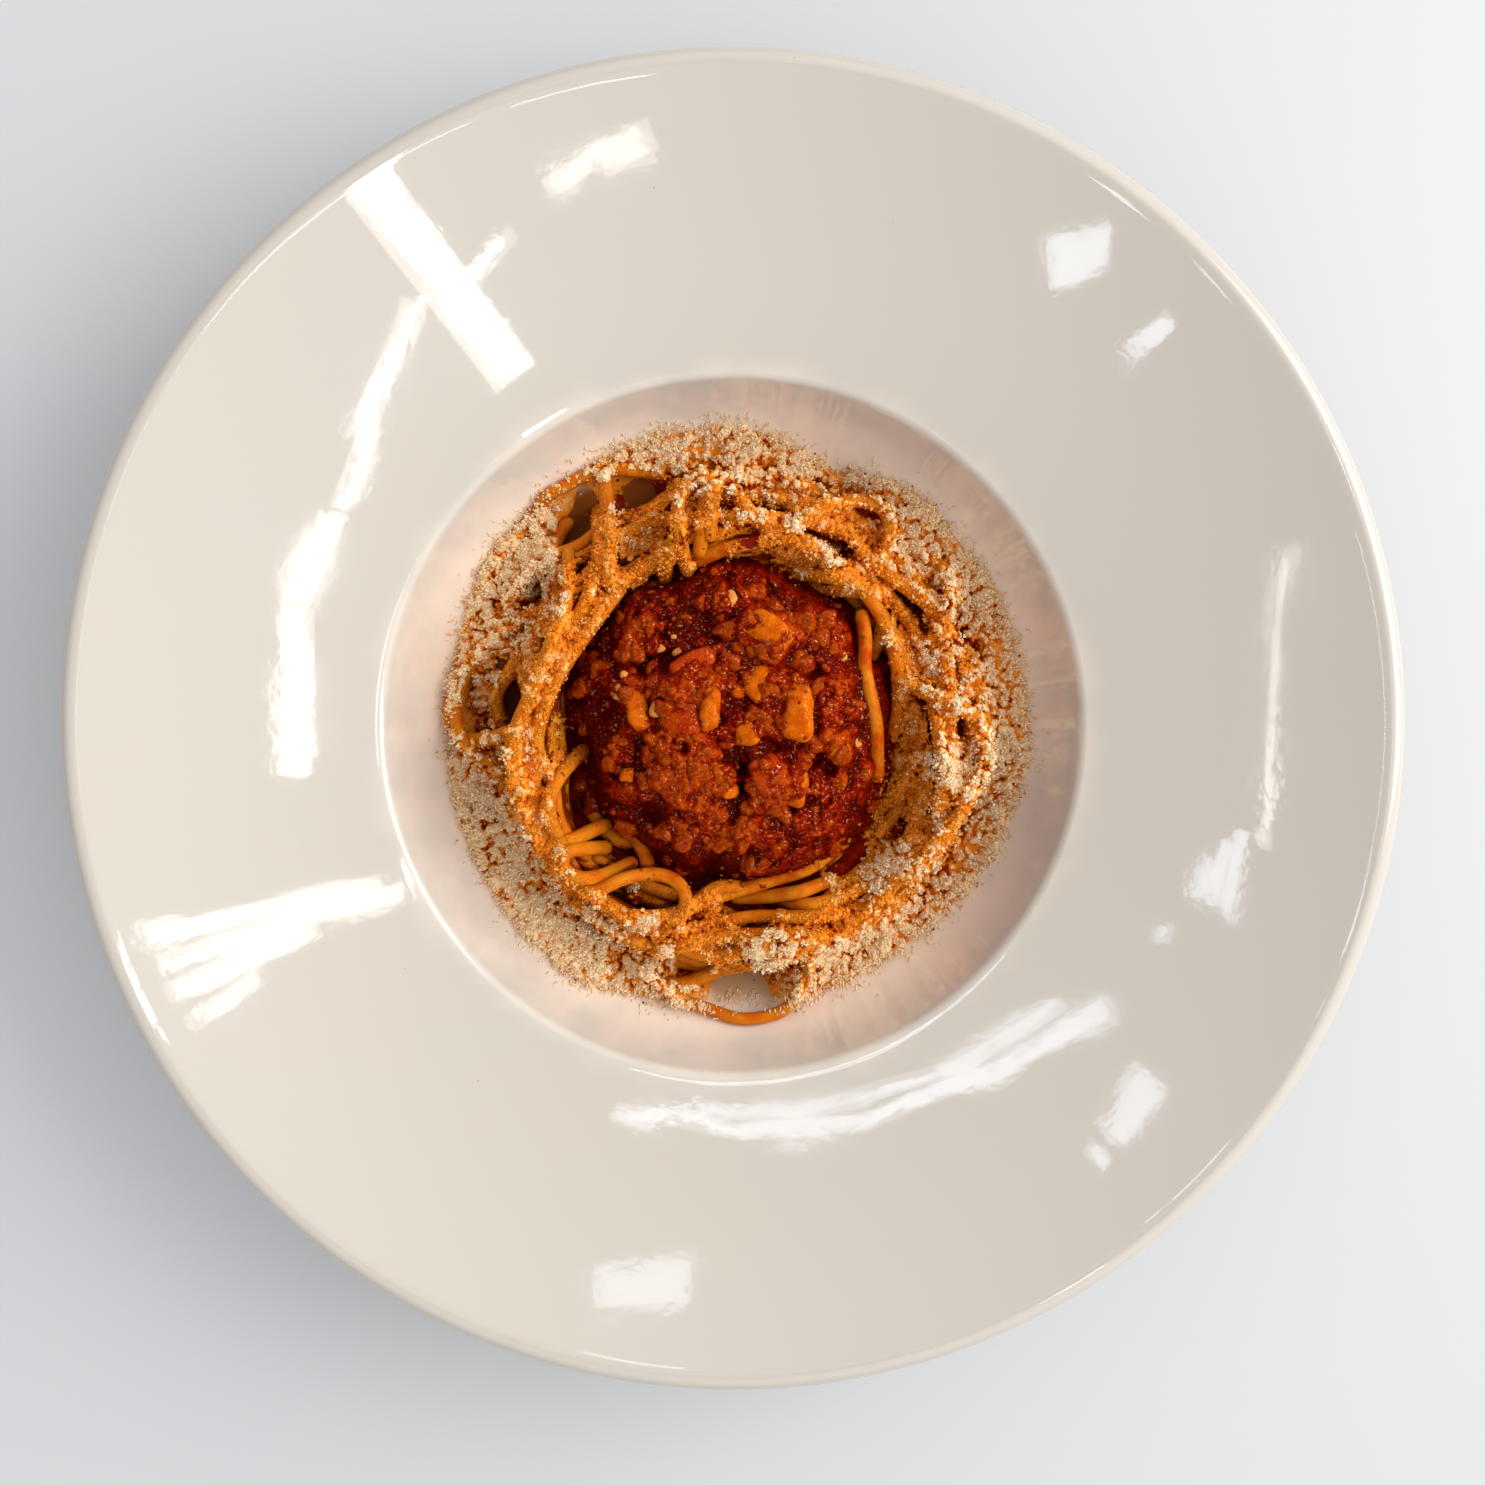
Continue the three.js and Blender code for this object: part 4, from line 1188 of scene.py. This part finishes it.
def make_layer(heap, material):
    """What shows of the cheese: a lumpy layer over the strands and the bed in the well."""
    x, y = heap.x, heap.y
    depth, piled = cheese_depth(x, y)
    base = softened(heap.top)
    level = spread_out(base, 5)
    thick = smooth_step(0.45, 0.95, cheese_cover(x, y))
    covered = np.maximum(coat_cover(x, y) * (1 - in_hole(x, y)), thick)
    filled = np.maximum(covered * (level - 1), thick * (level + 0.2))
    base = np.maximum(base, np.minimum(filled, base + 2.5))
    # Painted shade: where the layer lies below the level round it, it is painted more stained.
    gap = np.clip(level - 0.7 - base, 0, 2.5)
    z = base + depth
    proud = [depth - spread_out(depth, width) for width in (4, 1.6)]
    heap.stain = cheese_stain(x, y, piled, *proud) + 0.4 * gap
    heap.coated = depth > -0.1
    heap.raise_to(z, depth > 0)
    points = rows_of(*((x, y) + 0.14 * noise_pair(x, y, 0.5, (28, 29))), z)
    faces = grid_faces(heap.count, heap.count)
    shown = heap.coated.ravel()[faces].any(axis=1)
    shown &= np.ptp(points[:, 2][faces], axis=1) < LAYER_DROP
    used, faces = np.unique(faces[shown], return_inverse=True)
    stain = heap.stain.ravel()[used]
    return add_mesh("cheese_on_the_noodles", points[used], faces.reshape(-1, 4), material, stain=stain)


CRUMB_POINTS = np.array([(1, 0, 0), (-1, 0, 0), (0, 1, 0), (0, -1, 0), (0, 0, 1), (0, 0, -1)])
CRUMB_FACES = np.array([(0, 2, 4), (2, 1, 4), (1, 3, 4), (3, 0, 4),
                        (2, 0, 5), (1, 2, 5), (3, 1, 5), (0, 3, 5)])


def crumb_places(random, heap, outside):
    """Where crumbs lie, inside or outside the nest: nearly all of them on the layer."""
    places = np.zeros((2, 0))
    while places.shape[1] < CRUMB_COUNT:
        x, y = random.uniform(-CRUMB_REACH, CRUMB_REACH, (2, CRUMB_COUNT * 2))
        cells = heap.cells(x, y)
        reach, direction = polar(x, y)
        share = smooth_step(-3, 2, reach - nest_radius(direction) - 1)
        clean = smooth_step(1.2, 0.1, heap.stain[cells])
        dense = np.where(heap.coated[cells], 0.45 + 0.55 * clean, 0.04 + 0.06 * (reach < 40))
        dense = dense * (share if outside else 1 - share)
        dense = dense * np.maximum(smooth_step(0.02, 0.3, cheese_cover(x, y)), coat_cover(x, y))
        kept = random.random(len(x)) < dense * (1 - in_hole(x, y))
        places = np.hstack([places, (x[kept], y[kept])])
    return places[:, :CRUMB_COUNT]


def scattered(name, heap, x, y, sizes, turns, raised, stain, material):
    """Small eight-sided bits lying on the heap; sizes has the half length of each along its three axes."""
    count = len(x)
    z = np.zeros(count)
    for batch in np.array_split(np.arange(count), 8):
        z[batch] = heap.at(x[batch], y[batch]) + sizes[batch].min(axis=1) * raised
        heap.add_balls(x[batch], y[batch], z[batch], BIT_RADIUS)
    form = np.einsum("nij,nkj->nki", turns, CRUMB_POINTS * sizes[:, None])
    points = (form + rows_of(x, y, z)[:, None]).reshape(-1, 3)
    faces = (CRUMB_FACES + len(CRUMB_POINTS) * np.arange(count)[:, None, None]).reshape(-1, 3)
    return add_mesh(name, points, faces, material, stain=np.repeat(stain, len(CRUMB_POINTS)))


def make_crumbs(heap, name, outside, largest, seed, material):
    """Loose crumbs of cheese, each with its own size and turn, and stained as the layer under it is, painted
    shade included, give or take a little.
    """
    random = np.random.default_rng(seed)
    x, y = crumb_places(random, heap, outside)
    size = CRUMB_SMALLEST + (largest - CRUMB_SMALLEST) * random.random(CRUMB_COUNT) ** 1.8
    size = size[:, None] * random.uniform(0.6, 1.4, (CRUMB_COUNT, 3)) * (1.15, 1.15, 0.6)
    # Each crumb takes the layer's staining and painted shade.
    stain = heap.stain[heap.cells(x, y)] - 0.08 + random.uniform(-0.17, 0.13, CRUMB_COUNT)
    return scattered(name, heap, x, y, size, tilted_turns(random, CRUMB_COUNT, 0.6), 0.3, stain, material)


def make_shreds(heap, material):
    """Fine shreds at the ragged edge of the cheese, most of them pointing outwards."""
    random = np.random.default_rng(34)
    direction = random.uniform(0, 360, SHRED_COUNT)
    reach = fringe_radius(direction) - 1.2 + random.normal(0, 1.3, SHRED_COUNT)
    turn = np.radians(direction + random.normal(0, 38, SHRED_COUNT))
    rise = np.arctan2(well_height(reach + 1) - well_height(reach), 1) + random.normal(0, 0.25, SHRED_COUNT)
    along = rows_of(np.cos(turn) * np.cos(rise), np.sin(turn) * np.cos(rise), np.sin(rise))
    across = rows_of(-np.sin(turn), np.cos(turn), 0)
    turns = np.stack([along, across, np.cross(along, across)], axis=2)
    length = random.uniform(0.35, 1.25, SHRED_COUNT)
    sizes = rows_of(length, *random.uniform(0.13, 0.24, (2, SHRED_COUNT)))
    stain = random.uniform(-0.2, 0.25, SHRED_COUNT)
    return scattered("cheese_shreds", heap, *plane(reach, direction), sizes, turns, 0.8, stain, material)


# ---------------------------------------------------------------- light, floor and camera

EYE = Vector((2.56, 18.68, 401)) * MM
AIM = Vector((2.11, -1.87, 49.4)) * MM
LENS = 42.53                # on a sensor 36 mm wide

WINDOW = Vector((1.01, 0.26, 0.74))
WINDOW_AIM = Vector((0, 0, 0.03))

# Soft light from all round: (sine of the elevation, strength), and how much stronger it is from +X.
SKY_COLOUR = (0.925, 0.95, 1)
SKY_STOPS = ((0, 0.5), (0.4, 0.95), (0.75, 1.1), (0.93, 0.95), (0.99, 0.12))
SKY_SLANT = 0.62

# Bright shapes overhead that the glaze mirrors, at this height over the table: x, y, length, width,
# turn and brightness, in millimetres from the bowl's axis.
CEILING = 1500
SHAPE_POWER = 1.6 * math.pi     # watts for each square metre and unit of brightness
WARM_WHITE = (1, 0.98, 0.93)
COOL_WHITE = (0.80, 0.87, 1)
REFLECTED_SHAPES = (
    (WARM_WHITE, (
        (218, -437, 160, 42, 126.6, 9), (282, -344, 179, 13, 67, 6.5), (284, -360, 95, 5, 62, 6),
        (336, -220, 77, 19, 69, 6.5), (354, -109, 142, 24, 88, 7), (186, -456, 67, 11, 47, 5.5),
        (113, -522, 53, 13, 30, 6), (71, -538, 47, 20, 27, 5), (369, 70, 161, 15, 10, 4.6),
        (356, 84, 173, 15, 13, 5), (384, 108, 105, 18, 22, 5), (395, 138, 51, 16, 35, 4.2),
    )),
    (COOL_WHITE, (
        (35, 261, 112, 12, 170, 4.6), (-67, 266, 106, 13, 5, 4.6), (-175, 238, 124, 13, 23, 4.6),
        (-275, 187, 113, 14, 33, 4.6), (-26, 254, 92, 9, 179, 4), (-136, 233, 147, 10, 17, 4.3),
        (-246, 186, 110, 11, 34, 4.3), (-283, -455, 44, 34, 10, 4.6), (-343, -396, 30, 16, 40, 4.6),
        (-420, 38, 72, 8, 76, 4.6), (-410, 41, 52, 8, 75, 4.3), (-400, 47, 28, 8, 71, 4.3),
        (-372, 92, 17, 8, 66, 4.5),
    )),
    (WARM_WHITE, (
        (-448, -156, 120, 5, 89, 6.5), (-445, -39, 114, 5, 88, 6),
    )),
    (COOL_WHITE, (
        (-336, 227, 58, 20, 53, 4), (-306, 266, 14, 18, 51, 4), (62, 372, 80, 26, 0, 3),
    )),
)


def add_camera():
    camera = bpy.data.cameras.new("camera")
    camera.lens = LENS
    camera.sensor_width = 36
    camera.clip_start = 0.01
    holder = add_object("camera", camera)
    back = (EYE - AIM).normalized()
    across = Vector((0, 1, 0)).cross(back).normalized()
    holder.location = EYE
    holder.rotation_euler = Matrix((across, back.cross(across), back)).transposed().to_euler()
    bpy.context.scene.camera = holder


def add_light(name, place, turn, size, power, colour):
    """A rectangle of light that the camera sees only in what mirrors it, in metres."""
    light = bpy.data.lights.new(name, "AREA")
    light.shape = "RECTANGLE"
    light.size, light.size_y = size
    light.energy = power
    light.color = colour
    holder = add_object(name, light)
    holder.location = place
    holder.rotation_euler = turn
    holder.visible_camera = False


def add_reflected_shapes():
    shapes = [(*row, colour) for colour, rows in REFLECTED_SHAPES for row in rows]
    for number, (x, y, length, width, turn, brightness, colour) in enumerate(shapes):
        place = Vector((x, y, CEILING)) * MM
        power = SHAPE_POWER * (length * width * MM * MM) * brightness
        add_light(f"reflected_shape_{number}", place, (0, 0, math.radians(turn)),
                  (length * MM, width * MM), power, colour)


def add_world():
    world = bpy.data.worlds.new("soft_white")
    shade = Shade(world, "Background", "Generated")
    ramp = shade.nodes.new("ShaderNodeValToRGB")
    ramp.color_ramp.interpolation = "EASE"
    while len(ramp.color_ramp.elements) < len(SKY_STOPS):
        ramp.color_ramp.elements.new(0.5)
    for element, (sine, strength) in zip(ramp.color_ramp.elements, SKY_STOPS):
        element.position = sine
        element.color = (strength, strength, strength, 1)
    shade.set(ramp.inputs["Fac"], shade.axis("Z"))
    side = shade.math("MULTIPLY_ADD", shade.axis("X"), SKY_SLANT, 1)
    shade.looks(Color=SKY_COLOUR, Strength=shade.product(ramp.outputs["Color"], side))
    bpy.context.scene.world = world


def add_floor():
    half = 2500
    corners = [(-half, -half, 0), (half, -half, 0), (half, half, 0), (-half, half, 0)]
    floor = add_mesh("floor", corners, [(0, 1, 2, 3)], table_top())


# ---------------------------------------------------------------- all together

heap = Heap(half=72.0, pitch=0.35)
cheese = grated_cheese()
noodle_surface = sauced_pasta()

bowl = make_bowl(glazed_ceramic())
core = make_core(heap, dark_sauce())
drift = make_drift(heap, cheese)
laid = lay_strands(heap)
ragu = make_ragu(heap, meat_sauce())
noodles = make_strands(heap, laid, noodle_surface)
dice = make_ragu_pieces(heap, {
    "carrot": cooked_piece("cooked_carrot", CARROT, CARROT_SHADE, 2.0),
    "onion": cooked_piece("cooked_onion", ONION, ONION_SHADE, 1.6),
    "pepper": cooked_piece("cooked_pepper", PEPPER, PEPPER_SHADE, 4.0),
})
mince = make_mince(heap, cooked_piece("browned_mince", MINCE, MINCE_SHADE, 0.9))
layer = make_layer(heap, cheese)
nest_crumbs = make_crumbs(heap, "cheese_crumbs_on_the_noodles", False, 0.36, 31, cheese)
well_crumbs = make_crumbs(heap, "cheese_crumbs_in_the_well", True, 0.38, 32, cheese)
shreds = make_shreds(heap, cheese)

for piece, node, slot in (
    (bowl, "bowl", "bowl"),
    (core, "spaghetti", "spaghetti"),
    (noodles, "spaghetti", "spaghetti"),
    (ragu, "ragu", "ragu"),
    (dice[0], "ragu", "ragu"),
    (dice[1], "ragu", "ragu"),
    (dice[2], "ragu", "ragu"),
    (mince, "ragu", "ragu"),
    (drift, "grated_cheese", "grated_cheese"),
    (layer, "grated_cheese", "grated_cheese"),
    (nest_crumbs, "grated_cheese", "grated_cheese"),
    (well_crumbs, "grated_cheese", "grated_cheese"),
    (shreds, "grated_cheese", "grated_cheese"),
):
    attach(piece, "root")
    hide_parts(node)

add_floor()
add_world()
add_light("window", WINDOW, (WINDOW_AIM - WINDOW).to_track_quat("-Z", "Y").to_euler(),
          (0.9, 0.9), 11.4, (1, 0.985, 0.96))
add_reflected_shapes()
add_camera()
bpy.context.scene.view_settings.view_transform = "Standard"
